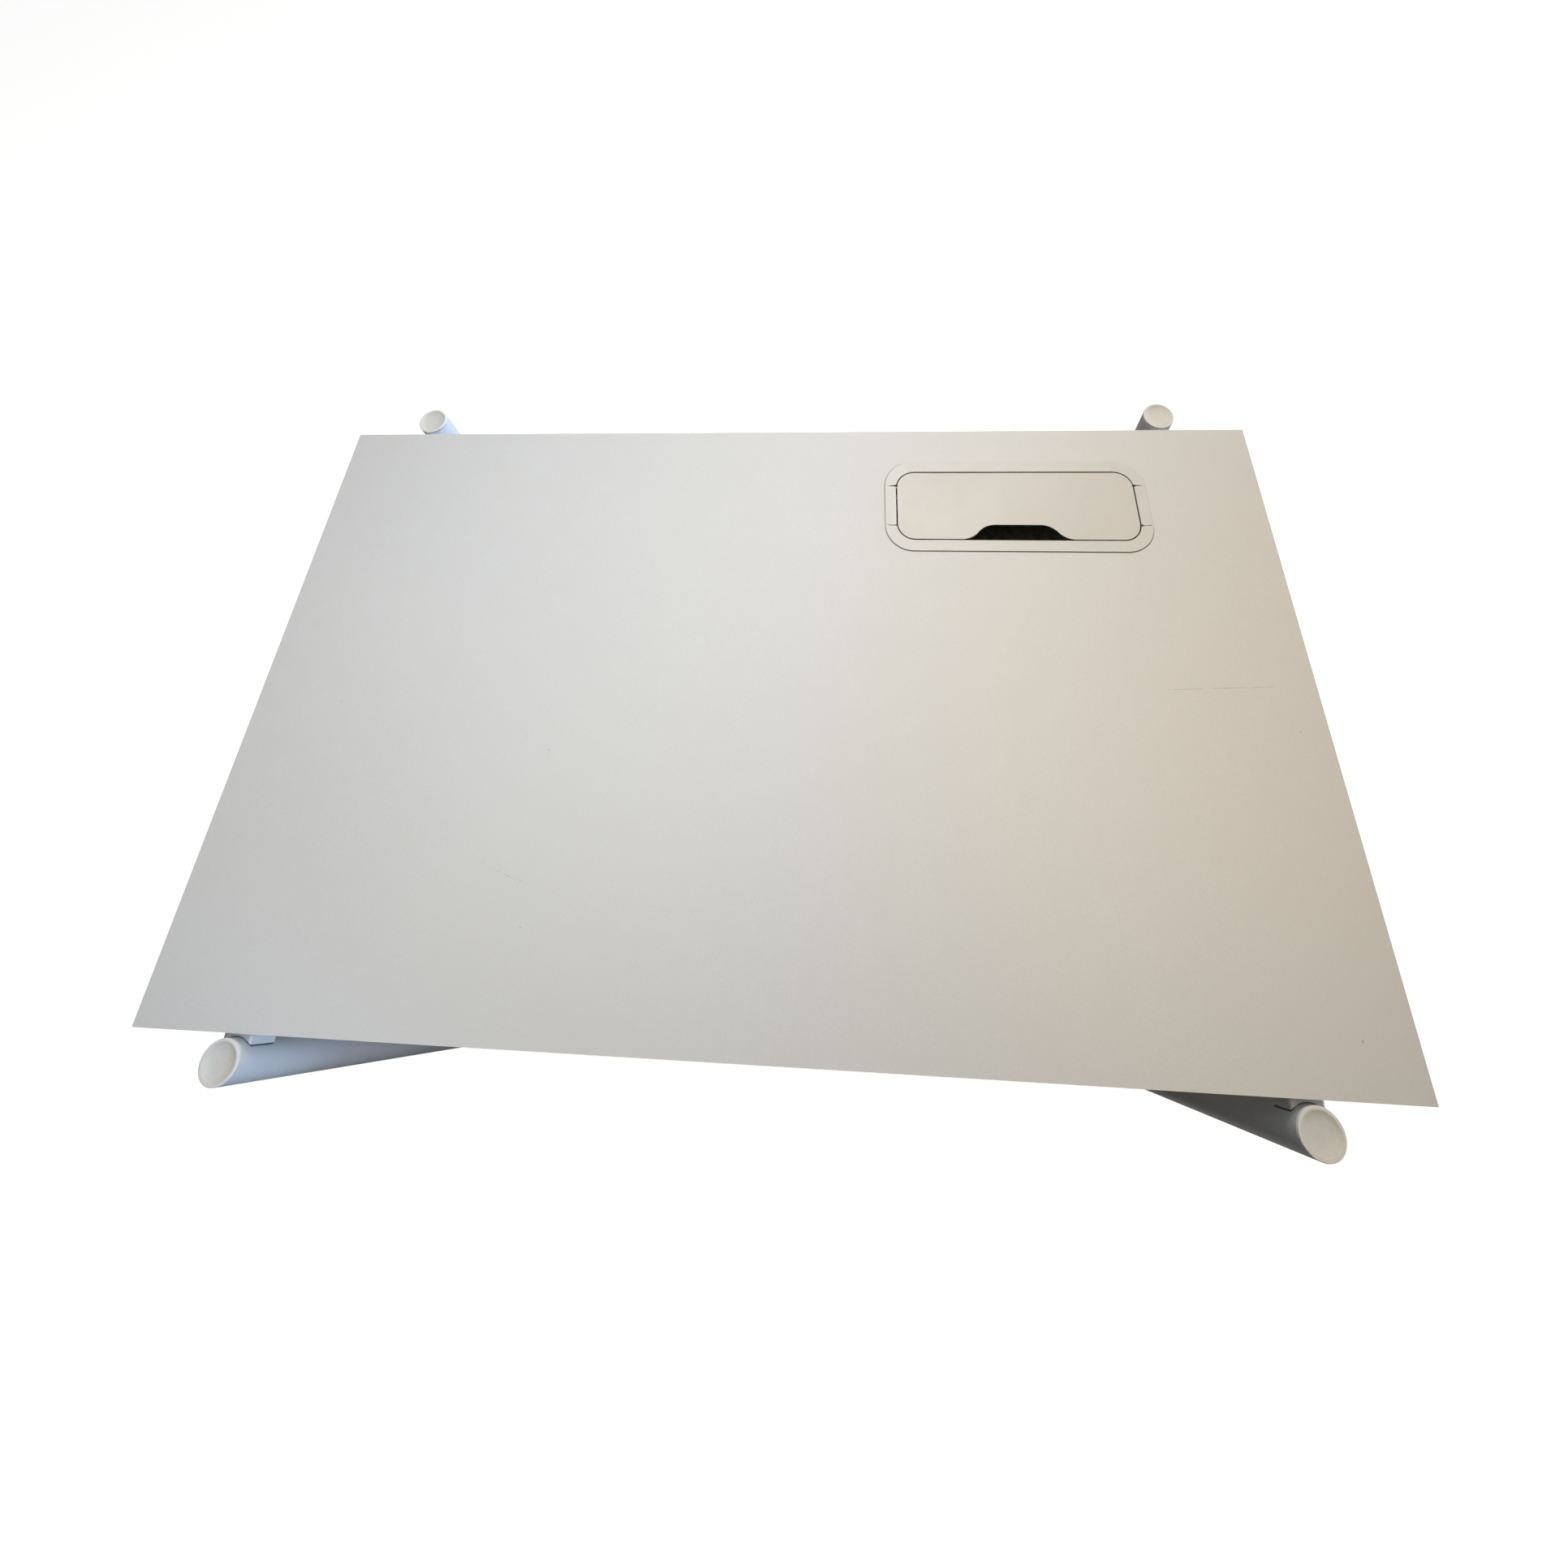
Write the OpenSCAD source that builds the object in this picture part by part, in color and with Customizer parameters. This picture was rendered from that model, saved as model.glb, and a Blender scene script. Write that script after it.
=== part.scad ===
// Office desk: a flat rectangular worktop between four round outboard legs, with a flip-lid cable outlet.
// Origin on the floor under the middle of the desk. +X right, +Y rear, +Z up. Millimetres.

/* [Worktop] */
// Width of the worktop, end to end
top_w = 1400; // [1300:10:1800]
// Depth of the worktop, front edge to rear edge
top_d = 800; // [780:10:900]
// Thickness of the worktop board
top_t = 19; // [18:1:25]
// Height of the worktop surface above the floor
top_z = 720; // [650:5:780]
// Thickness of the edge banding
band_t = 1; // [0.5:0.1:2]

/* [Leg frames] */
// Outer diameter of the leg tubes
leg_d = 45; // [44:1:60]
// Wall thickness of the steel tubes
tube_wall = 2; // [1.5:0.5:2]
// Distance of each leg axis in from the end of the worktop
leg_inset = 117; // [100:1:200]
// Clear gap between the long edges of the worktop and the legs
leg_gap = 4.5; // [2:0.5:10]
// Width of the side rails and the beams
rail_w = 35; // [28:1:36]
// Height of the side rails and the beams
rail_h = 50; // [46:1:60]
// Outer corner radius of the rail tube
rail_r = 5; // [3:0.5:6]
// Thickness of the dark joint face between a rail and its leg
joint_face = 0.8; // [0.6:0.1:2]
// Distance of each beam axis from the middle of the desk
beam_y = 125; // [90:5:130]

/* [Leg caps and feet] */
// Distance of the cap rims below the worktop surface
cap_drop = 1; // [0:0.5:5]
// Thickness of the cap flange
cap_t = 2.4; // [2:0.1:4]
// Width of the raised rim round the dished cap
cap_rim = 3.4; // [2.5:0.1:5]
// Depth of the dish in the cap
cap_dish = 2.6; // [0.8:0.1:2.8]
// Diameter of the levelling foot pads
pad_d = 38; // [30:1:42]
// Height of the levelling foot pads
pad_h = 8; // [6:1:12]

/* [Cable outlet] */
// Distance of the outlet axis right of the middle of the desk
out_x = 351.5; // [250:0.5:380]
// Distance of the outlet axis behind the middle of the desk
out_y = 270; // [262:1:275]
// Width of the outlet plate
out_w = 378; // [360:2:390]
// Depth of the outlet plate
out_d = 146; // [144:1:150]
// Corner radius of the outlet plate
out_r = 41; // [35:1:45]
// Thickness of the outlet plate above the worktop
out_t = 1.6; // [1:0.1:2.5]
// Width of the lid
lid_w = 342; // [330:1:345]
// Depth of the lid
lid_d = 109; // [105:1:111]
// Corner radius of the lid
lid_r = 25; // [20:1:26]
// Gap round the lid
lid_gap = 1.4; // [1:0.1:1.5]
// Thickness of the lid
lid_t = 3; // [2.5:0.1:3.5]
// Width of the finger notch at the lid's front edge
notch_w = 160; // [120:2:160]
// Width of the flat stretch at the back of the finger notch
notch_flat = 64; // [60:2:80]
// Depth of the finger notch
notch_d = 22.8; // [18:0.1:24]

/* [Cable tray] */
// Inner width of the tray
tray_w = 380; // [376:2:400]
// Inner depth of the tray, front to rear
tray_d = 172; // [170:1:176]
// Inner height of the tray under the worktop
tray_h = 110; // [80:5:140]
// Height of the tray's end walls
tray_end_h = 50; // [30:5:60]
// Sheet thickness of the tray
tray_t = 1.5; // [1:0.1:2]

/* [Hidden] */
$fn = 96;

// How far a cutting shape runs past the face it cuts
over = 1;

// Leg axes and heights
leg_ro = leg_d / 2;
leg_ri = leg_ro - tube_wall;
leg_x = top_w / 2 - leg_inset;
leg_y = top_d / 2 + leg_gap + leg_ro;
cap_neck = 1.2;
cap_top = top_z - cap_drop;
tube_top = cap_top - cap_t - cap_neck;
tube_chamfer = 0.7;

// Levelling feet: pad, hexagon and spindle, stacked up from the floor
hex_h = 5;
hex_r = 17 / 2 / cos(30);
spindle_r = 5;
spindle_top = 46;
foot_gap = 0.5;
insert_z = pad_h + hex_h + foot_gap;
insert_flange = 3;
insert_plug = 25;
tube_bottom = insert_z + insert_flange;
push_gap = 0.1;
running_gap = 0.05;

// Rails and beams hang under the worktop on thin pads
pad_t = 1;
board_z = top_z - top_t;
rail_z = board_z - pad_t - rail_h / 2;
cope_r = leg_ro + push_gap;
rail_cope_r = cope_r + joint_face + push_gap;
plug_len = 36;
plug_end = leg_ro + plug_len;
seat = leg_ro + 8;
plug_screw_pitch = 24;
lock_screw_y = leg_ro + 20;
strip_w = 16;
strip_t = 5;
strip_h = 44;
strip_y = 18.4;
plate_t = 5;
plate_w = 90;
plate_h = 44;
bolt_pitch = 64;
beam_half = leg_x - rail_w / 2 - plate_t;
rail_inner_x = leg_x - rail_w / 2;

// Screws: shank radius, head radius and head height
m6_r = 2.95;
m6_head_r = 5;
m6_head_h = 6;
m6_hole = 3.3;
m8_r = 3.95;
m8_hole = 4.3;
m8_head_r = 13 / 2 / cos(30);
m8_head_h = 5.3;
m8_nut_h = 6.5;
washer_r = 8;
washer_t = 1.6;
wood_r = 2.5;
wood_head_r = 5;
wood_head_h = 3;
wood_bite = 13;
wood_hole = 2.9;
rail_screw_y = [-300, 0, 300];
beam_screw_x = [-280, 280];

// Outlet: the collar hangs from the plate through the worktop, and the lid turns on two pins
lid_y = out_y;
collar_w = lid_w + 13;
collar_d = lid_d + 13;
collar_r = lid_r + 6;
throat_w = lid_w + 5;
throat_d = lid_d + 5;
throat_r = lid_r + 2.5;
collar_drop = 30;
cut_gap = 1;
lid_top = top_z + out_t;
hinge_back = 22.7;
hinge_y = lid_y + lid_d / 2 - hinge_back;
hinge_drop = 4.8;
hinge_z = lid_top - hinge_drop;
pin_r = 1.5;
pin_in = 6;
boss_r = 3.2;
boss_len = 8;
side_step = 0.2;
side_step_d = 62.8;
step_y = hinge_y - side_step_d / 2;
ledge_x = 110;
ledge_w = 24;
ledge_d = 9;
ledge_t = 3;
buffer_t = 1;
buffer_r = 2.5;
stop_w = 18;
stop_gap = 3.2;
stop_low = 19;
stop_d = 9;
stop_h = 7;
clamp_w = 20;
clamp_out = 14;
clamp_t = 2;
clamp_drop = 10;
clamp_x = 100;
clamp_screw_r = 1.5;
rib_h = 2.6;
rib_t = 1.5;

// Tray: placed under the outlet, with flanges screwed to the underside of the worktop
tray_flange = 17;
tray_y = lid_y;
tray_screw_x = [-160, 0, 160];
tray_screw_y = tray_d / 2 + tray_flange / 2 + tray_t / 2;
tray_screw_r = 2;
tray_screw_head_r = 4;
tray_screw_head_h = 2.6;
tray_screw_bite = 12;

// A rectangle with round corners, centred
module round_rect(w, d, r) {
    square([w - 2 * r, d], center = true);
    square([w, d - 2 * r], center = true);
    for (x = [-1, 1], y = [-1, 1])
        translate([x * (w / 2 - r), y * (d / 2 - r)])
            circle(r);
}

// A shape drawn in X and Y and extruded along Z, laid over so that it runs along +Y with its top up
module along_y() {
    rotate([-90, 0, 0])
        children();
}

// The same along +X
module along_x() {
    rotate([90, 0, 90])
        children();
}

// A screw pointing up from its head
module screw_up(r, len, head_r, head_h) {
    translate([0, 0, -head_h])
        cylinder(r = head_r, h = head_h);
    cylinder(r = r, h = len);
}

// Places its children at one leg, with +Y turned towards the middle of the desk
module at_leg(sx, sy) {
    translate([sx * leg_x, sy * leg_y, 0])
        mirror([0, sy > 0 ? 1 : 0, 0])
            children();
}

// Places its children at all four legs
module at_legs() {
    for (sx = [-1, 1], sy = [-1, 1])
        at_leg(sx, sy)
            children();
}

// Every place where a screw from below enters the worktop through a rail or a beam
module at_rail_screws(sx) {
    for (y = rail_screw_y)
        translate([sx * leg_x, y, 0])
            children();
}

module at_beam_screws() {
    for (x = beam_screw_x, y = [-beam_y, beam_y])
        translate([x, y, 0])
            children();
}

module at_tray_screws() {
    for (x = tray_screw_x, y = [-tray_screw_y, tray_screw_y])
        translate([out_x + x, tray_y + y, 0])
            children();
}

// Every bolt that holds a beam to a side rail, with +X pointing outwards
module at_beam_bolts(sx) {
    for (y = [-beam_y, beam_y], dy = [-bolt_pitch / 2, bolt_pitch / 2])
        translate([sx * rail_inner_x, y + dy, rail_z])
            mirror([sx < 0 ? 1 : 0, 0, 0])
                children();
}

module worktop_board() {
    color([0.82, 0.82, 0.80])
        difference() {
            translate([0, 0, board_z + top_t / 2])
                cube([top_w - 2 * band_t, top_d - 2 * band_t, top_t], center = true);
            translate([out_x, lid_y, board_z - over])
                linear_extrude(top_t + 2 * over)
                    round_rect(collar_w + 2 * cut_gap, collar_d + 2 * cut_gap, collar_r + cut_gap);
            translate([0, 0, board_z - over]) {
                for (sx = [-1, 1])
                    at_rail_screws(sx)
                        cylinder(r = wood_r + running_gap, h = wood_bite + over + 0.5);
                at_beam_screws()
                    cylinder(r = wood_r + running_gap, h = wood_bite + over + 0.5);
                at_tray_screws()
                    cylinder(r = tray_screw_r + running_gap, h = tray_screw_bite + over + 0.5);
            }
        }
}

// The bands along the front and rear run past the ends of the side bands
module edge_band_long(sy) {
    color([0.80, 0.80, 0.78])
        translate([0, sy * (top_d / 2 - band_t / 2), board_z + top_t / 2])
            cube([top_w, band_t, top_t], center = true);
}

module edge_band_side(sx) {
    color([0.80, 0.80, 0.78])
        translate([sx * (top_w / 2 - band_t / 2), 0, board_z + top_t / 2])
            cube([band_t, top_d - 2 * band_t, top_t], center = true);
}

// Outline of the opening in the plate: wider by a small step along the straight sides and the rear
module outlet_opening() {
    round_rect(lid_w + 2 * lid_gap, lid_d + 2 * lid_gap, lid_r + lid_gap);
    translate([0, step_y - lid_y])
        square([lid_w + 2 * (lid_gap + side_step), side_step_d], center = true);
    translate([0, side_step / 2])
        square([lid_w - 2 * lid_r, lid_d + 2 * lid_gap + side_step], center = true);
}

module outlet_frame() {
    plate_bottom = top_z - collar_drop;
    color([0.86, 0.85, 0.83])
        difference() {
            union() {
                translate([out_x, out_y, top_z])
                    linear_extrude(out_t)
                        round_rect(out_w, out_d, out_r);
                translate([out_x, lid_y, plate_bottom])
                    linear_extrude(collar_drop)
                        round_rect(collar_w, collar_d, collar_r);
            }
            difference() {
                translate([out_x, lid_y, plate_bottom - over])
                    linear_extrude(collar_drop + over)
                        round_rect(throat_w, throat_d, throat_r);
                outlet_ledges();
                outlet_stops();
            }
            translate([out_x, lid_y, top_z - over])
                linear_extrude(out_t + 2 * over)
                    outlet_opening();
            outlet_pin_holes(pin_r + 0.02);
            outlet_clamp_places()
                rotate([90, 0, 0])
                    cylinder(r = clamp_screw_r + 0.02, h = 6, center = true);
        }
}

// Two shelves under the front corners of the lid
module outlet_ledges() {
    shelf_top = lid_top - lid_t - buffer_t - push_gap;
    for (sx = [-1, 1])
        translate([out_x + sx * ledge_x - ledge_w / 2, lid_y - throat_d / 2 - over, shelf_top - ledge_t])
            cube([ledge_w, ledge_d + over, ledge_t]);
}

// Two tabs that the rear of the lid comes to rest on when it is open
module outlet_stops() {
    for (sx = [-1, 1])
        translate([out_x + sx * (throat_w / 2 - stop_w / 2 + over / 2), hinge_y - stop_gap - stop_d / 2, hinge_z - stop_low])
            cube([stop_w + over, stop_d, stop_h], center = true);
}

module outlet_pin_holes(r) {
    translate([out_x, hinge_y, hinge_z])
        along_x()
            for (side = [-1, 1])
                translate([0, 0, side * (throat_w / 2 + 1.5)])
                    cylinder(r = r, h = 4, center = true);
}

// The four clamp places on the collar's long sides, with +Y pointing outwards
module outlet_clamp_places() {
    for (sx = [-1, 1], sy = [-1, 1])
        translate([out_x + sx * clamp_x, lid_y + sy * collar_d / 2, board_z - clamp_drop / 2])
            mirror([0, sy < 0 ? 1 : 0, 0])
                children();
}

// Two equal arcs lead from each end of the notch up to its flat back
module notch_outline() {
    run = (notch_w - notch_flat) / 2;
    arc_r = (run * run + notch_d * notch_d) / (4 * notch_d);
    middle = notch_flat / 2 + run / 2;
    translate([-notch_flat / 2, -over])
        square([notch_flat, notch_d + over]);
    for (side = [0, 1])
        mirror([side, 0]) {
            intersection() {
                translate([notch_flat / 2, notch_d - arc_r])
                    circle(arc_r);
                translate([notch_flat / 2, -over])
                    square([run / 2, notch_d + over]);
            }
            difference() {
                translate([middle, -over])
                    square([run / 2, notch_d / 2 + over]);
                translate([notch_w / 2, arc_r])
                    circle(arc_r);
            }
        }
}

module outlet_lid() {
    color([0.86, 0.85, 0.83])
        difference() {
            union() {
                translate([out_x, lid_y, lid_top - lid_t])
                    linear_extrude(lid_t)
                        difference() {
                            round_rect(lid_w, lid_d, lid_r);
                            translate([0, -lid_d / 2])
                                notch_outline();
                        }
                outlet_lid_ribs();
                outlet_lid_bosses();
            }
            translate([out_x, hinge_y, hinge_z])
                along_x()
                    for (side = [-1, 1])
                        translate([0, 0, side * (lid_w / 2 - pin_in / 2)])
                            cylinder(r = pin_r + running_gap, h = pin_in + 0.2, center = true);
        }
}

// Stiffening ribs under the lid: two long ones and a row of cross ribs
module outlet_lid_ribs() {
    rib_z = lid_top - lid_t - rib_h;
    rib_len = lid_w - 2 * lid_r;
    front_y = lid_y - lid_d / 2 + notch_d + 6;
    for (y = [front_y, hinge_y])
        translate([out_x - rib_len / 2, y - rib_t / 2, rib_z])
            cube([rib_len, rib_t, rib_h + 0.5]);
    for (x = [-120 : 60 : 120])
        translate([out_x + x - rib_t / 2, front_y, rib_z])
            cube([rib_t, hinge_y - front_y, rib_h + 0.5]);
}

// Barrels for the pins, joined to the lid by a short web
module outlet_lid_bosses() {
    for (side = [-1, 1])
        translate([out_x + side * (lid_w / 2 - boss_len / 2), hinge_y, hinge_z]) {
            along_x()
                cylinder(r = boss_r, h = boss_len, center = true);
            translate([0, 0, (hinge_drop - lid_t) / 2 + 0.25])
                cube([boss_len, 2 * boss_r, hinge_drop - lid_t + 0.5], center = true);
        }
}

module outlet_hinge_pins() {
    pin_len = pin_in + (throat_w - lid_w) / 2 + 3;
    color("silver")
        translate([out_x, hinge_y, hinge_z])
            along_x()
                for (side = [-1, 1])
                    translate([0, 0, side * (lid_w / 2 - pin_in + pin_len / 2)])
                        cylinder(r = pin_r, h = pin_len, center = true);
}

module outlet_lid_buffers() {
    shelf_top = lid_top - lid_t - buffer_t - push_gap;
    color([0.12, 0.12, 0.12])
        for (sx = [-1, 1])
            translate([out_x + sx * ledge_x, lid_y - throat_d / 2 + ledge_d - buffer_r - 0.5, shelf_top])
                cylinder(r = buffer_r, h = buffer_t);
}

// Angle brackets that pull the outlet down against the worktop
module outlet_clamps() {
    color("silver")
        outlet_clamp_places()
            difference() {
                union() {
                    translate([-clamp_w / 2, push_gap, -clamp_drop / 2])
                        cube([clamp_w, clamp_t, clamp_drop]);
                    translate([-clamp_w / 2, push_gap, clamp_drop / 2 - clamp_t])
                        cube([clamp_w, clamp_out, clamp_t]);
                }
                rotate([90, 0, 0])
                    cylinder(r = clamp_screw_r + push_gap, h = 3 * clamp_t, center = true);
            }
}

module outlet_clamp_screws() {
    color("silver")
        outlet_clamp_places()
            translate([0, clamp_t + push_gap, 0])
                rotate([90, 0, 0])
                    screw_up(clamp_screw_r, 5, 2.8, 1.8);
}

// A folded trough, open at the top, with low end walls and an outward flange along the front and rear
module cable_tray() {
    floor_z = board_z - tray_h - tray_t;
    outer_w = tray_w + 2 * tray_t;
    outer_d = tray_d + 2 * tray_t;
    color([0.08, 0.08, 0.08])
        translate([out_x, tray_y, 0])
            difference() {
                union() {
                    translate([-outer_w / 2, -outer_d / 2, floor_z])
                        cube([outer_w, outer_d, tray_t]);
                    for (sy = [-1, 1]) {
                        translate([0, sy * (tray_d + tray_t) / 2, board_z - (tray_h + tray_t) / 2])
                            cube([outer_w, tray_t, tray_h + tray_t], center = true);
                        translate([0, sy * (tray_d + tray_flange + tray_t) / 2, board_z - tray_t / 2])
                            cube([outer_w, tray_flange + tray_t, tray_t], center = true);
                    }
                    for (sx = [-1, 1])
                        translate([sx * (tray_w + tray_t) / 2, 0, floor_z + tray_end_h / 2])
                            cube([tray_t, outer_d, tray_end_h], center = true);
                }
                for (x = tray_screw_x, y = [-tray_screw_y, tray_screw_y])
                    translate([x, y, board_z - tray_t])
                        cylinder(r = tray_screw_r + 0.3, h = 4 * tray_t, center = true);
            }
}

module cable_tray_screws() {
    color("silver")
        translate([0, 0, board_z - tray_t])
            at_tray_screws()
                screw_up(tray_screw_r, tray_t + tray_screw_bite, tray_screw_head_r, tray_screw_head_h);
}

module leg_tube(sx, sy) {
    color([0.90, 0.90, 0.90])
        at_leg(sx, sy)
            difference() {
                rotate_extrude()
                    polygon([
                        [leg_ri, tube_bottom],
                        [leg_ro, tube_bottom],
                        [leg_ro, tube_top - tube_chamfer],
                        [leg_ro - tube_chamfer, tube_top],
                        [leg_ri, tube_top]
                    ]);
                for (dz = [-plug_screw_pitch / 2, plug_screw_pitch / 2])
                    translate([0, 0, rail_z + dz])
                        along_y()
                            cylinder(r = m6_hole, h = leg_ro + over);
            }
}

// Half section of the cap: a flange with a rounded rim round a shallow dish, on a hollow plug
module cap_section() {
    edge_r = 0.8;
    dish_floor = 2;
    dish_w = leg_ro - cap_rim;
    dish_r = (dish_w * dish_w + cap_dish * cap_dish) / (2 * cap_dish);
    plug_r = leg_ri - push_gap;
    difference() {
        union() {
            translate([0, -dish_floor])
                square([plug_r, dish_floor + 0.5]);
            square([leg_ro - edge_r, cap_t]);
            translate([0, edge_r])
                square([leg_ro, cap_t - 2 * edge_r]);
            for (z = [edge_r, cap_t - edge_r])
                translate([leg_ro - edge_r, z])
                    circle(edge_r);
        }
        translate([0, cap_t + dish_r - cap_dish])
            circle(dish_r);
        translate([-2 * leg_ro, -dish_floor - over])
            square([2 * leg_ro, cap_t + dish_floor + 2 * over]);
    }
    translate([plug_r - tube_wall, -18])
        square([tube_wall, 18.5]);
    translate([plug_r - tube_wall, -cap_neck])
        square([tube_wall + 0.8, cap_neck + 0.5]);
}

module leg_cap(sx, sy) {
    color([0.93, 0.92, 0.88])
        at_leg(sx, sy)
            translate([0, 0, cap_top - cap_t])
                rotate_extrude()
                    cap_section();
}

module foot_insert(sx, sy) {
    color([0.15, 0.15, 0.15])
        at_leg(sx, sy)
            translate([0, 0, insert_z])
                difference() {
                    union() {
                        cylinder(r = leg_ro - 0.2, h = insert_flange);
                        cylinder(r = leg_ri - push_gap, h = insert_flange + insert_plug);
                    }
                    translate([0, 0, -over])
                        cylinder(r = spindle_r + running_gap, h = insert_flange + insert_plug + 2 * over);
                }
}

module levelling_foot(sx, sy) {
    pad_r = pad_d / 2;
    color([0.20, 0.20, 0.20])
        at_leg(sx, sy) {
            rotate_extrude()
                polygon([
                    [0, 0],
                    [pad_r - 1, 0],
                    [pad_r, 1],
                    [pad_r, pad_h / 2],
                    [pad_r - 5, pad_h],
                    [0, pad_h]
                ]);
            translate([0, 0, pad_h - 0.5])
                cylinder(r = hex_r, h = hex_h + 0.5, $fn = 6);
            cylinder(r = spindle_r, h = spindle_top);
        }
}

module side_rail(sx) {
    color([0.90, 0.90, 0.90])
        difference() {
            translate([sx * leg_x, -leg_y, rail_z])
                along_y()
                    linear_extrude(2 * leg_y)
                        difference() {
                            round_rect(rail_w, rail_h, rail_r);
                            round_rect(rail_w - 2 * tube_wall, rail_h - 2 * tube_wall, rail_r - tube_wall);
                        }
            for (sy = [-1, 1])
                at_leg(sx, sy) {
                    translate([0, 0, rail_z - rail_h])
                        cylinder(r = rail_cope_r, h = 2 * rail_h);
                    translate([-rail_w, -rail_w, rail_z - rail_h])
                        cube([2 * rail_w, rail_w, 2 * rail_h]);
                    translate([0, lock_screw_y, rail_z - rail_h / 2])
                        cylinder(r = m6_hole, h = 3 * tube_wall, center = true);
                }
            translate([0, 0, rail_z])
                at_rail_screws(sx)
                    cylinder(r = wood_hole, h = 2 * rail_h, center = true);
            at_beam_bolts(sx)
                along_x()
                    cylinder(r = m8_hole, h = 3 * tube_wall, center = true);
        }
}

// Plug that joins a rail to its leg: screwed to the leg through its core, then locked in the rail from below
module rail_plug(sx, sy) {
    core_w = rail_w - 2 * tube_wall - 2 * push_gap;
    core_h = rail_h - 2 * tube_wall - 2 * push_gap;
    color([0.18, 0.18, 0.19])
        at_leg(sx, sy)
            translate([0, 0, rail_z])
                difference() {
                    union() {
                        intersection() {
                            along_y()
                                linear_extrude(leg_ro + rail_w)
                                    round_rect(rail_w, rail_h, rail_r);
                            cylinder(r = cope_r + joint_face, h = 2 * rail_h, center = true);
                        }
                        along_y()
                            linear_extrude(plug_end)
                                round_rect(core_w, core_h, rail_r - tube_wall);
                    }
                    cylinder(r = cope_r, h = 2 * rail_h, center = true);
                    for (dz = [-plug_screw_pitch / 2, plug_screw_pitch / 2])
                        translate([0, 0, dz])
                            along_y() {
                                cylinder(r = m6_hole, h = plug_end + over);
                                translate([0, 0, seat])
                                    cylinder(r = m6_head_r + 0.5, h = plug_len);
                            }
                    translate([0, lock_screw_y, -rail_h / 2])
                        cylinder(r = m6_r + running_gap, h = 13);
                }
}

module leg_nut_strips() {
    color("silver")
        at_legs()
            difference() {
                translate([-strip_w / 2, strip_y - strip_t, rail_z - strip_h / 2])
                    cube([strip_w, strip_t, strip_h]);
                for (dz = [-plug_screw_pitch / 2, plug_screw_pitch / 2])
                    translate([0, 0, rail_z + dz])
                        along_y()
                            cylinder(r = m6_r + running_gap, h = leg_ro);
            }
}

module rail_plug_screws() {
    color("silver")
        at_legs()
            for (dz = [-plug_screw_pitch / 2, plug_screw_pitch / 2])
                translate([0, seat, rail_z + dz])
                    rotate([90, 0, 0])
                        difference() {
                            screw_up(m6_r, seat - strip_y + strip_t, m6_head_r, m6_head_h);
                            translate([0, 0, -m6_head_h - over])
                                cylinder(r = 2.9, h = 3 + over, $fn = 6);
                        }
}

module rail_lock_screws() {
    color("silver")
        at_legs()
            translate([0, lock_screw_y, rail_z - rail_h / 2])
                screw_up(m6_r, 12, 5.5, 3.3);
}

module beam(sy) {
    color([0.90, 0.90, 0.90])
        difference() {
            translate([-beam_half, sy * beam_y, rail_z])
                along_x()
                    linear_extrude(2 * beam_half)
                        difference() {
                            round_rect(rail_w, rail_h, rail_r);
                            round_rect(rail_w - 2 * tube_wall, rail_h - 2 * tube_wall, rail_r - tube_wall);
                        }
            for (x = beam_screw_x)
                translate([x, sy * beam_y, rail_z])
                    cylinder(r = wood_hole, h = 2 * rail_h, center = true);
        }
}

module beam_plate(sx, sy) {
    color([0.90, 0.90, 0.90])
        translate([sx * (beam_half + plate_t / 2), sy * beam_y, rail_z])
            along_x()
                linear_extrude(plate_t, center = true)
                    difference() {
                        round_rect(plate_w, plate_h, 6);
                        for (dy = [-bolt_pitch / 2, bolt_pitch / 2])
                            translate([dy, 0])
                                circle(m8_hole);
                    }
}

// Bolts run outwards through washer, plate and rail wall into nuts inside the rail
module beam_bolts(sx) {
    color("silver")
        at_beam_bolts(sx)
            translate([-plate_t - washer_t, 0, 0])
                along_x() {
                    translate([0, 0, -m8_head_h])
                        cylinder(r = m8_head_r, h = m8_head_h, $fn = 6);
                    cylinder(r = m8_r, h = washer_t + plate_t + tube_wall + m8_nut_h + 2);
                }
}

module beam_washers() {
    color("silver")
        for (sx = [-1, 1])
            at_beam_bolts(sx)
                translate([-plate_t - washer_t, 0, 0])
                    along_x()
                        linear_extrude(washer_t)
                            difference() {
                                circle(washer_r);
                                circle(m8_r + push_gap);
                            }
}

module beam_nuts() {
    color("silver")
        for (sx = [-1, 1])
            at_beam_bolts(sx)
                translate([tube_wall, 0, 0])
                    along_x()
                        difference() {
                            cylinder(r = m8_head_r, h = m8_nut_h, $fn = 6);
                            translate([0, 0, -over])
                                cylinder(r = m8_r + running_gap, h = m8_nut_h + 2 * over);
                        }
}

// Thin pads between the steel and the worktop, one round each screw
module worktop_pads() {
    color([0.25, 0.25, 0.25])
        translate([0, 0, board_z - pad_t]) {
            for (sx = [-1, 1])
                at_rail_screws(sx)
                    worktop_pad();
            at_beam_screws()
                worktop_pad();
        }
}

module worktop_pad() {
    linear_extrude(pad_t)
        difference() {
            square(rail_w - 2 * rail_r, center = true);
            circle(wood_hole);
        }
}

module worktop_screw() {
    translate([0, 0, rail_z - rail_h / 2])
        screw_up(wood_r, rail_h + pad_t + wood_bite, wood_head_r, wood_head_h);
}

module worktop_screws(sx) {
    color("silver")
        at_rail_screws(sx)
            worktop_screw();
}

module worktop_screws_beams() {
    color("silver")
        at_beam_screws()
            worktop_screw();
}

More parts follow.
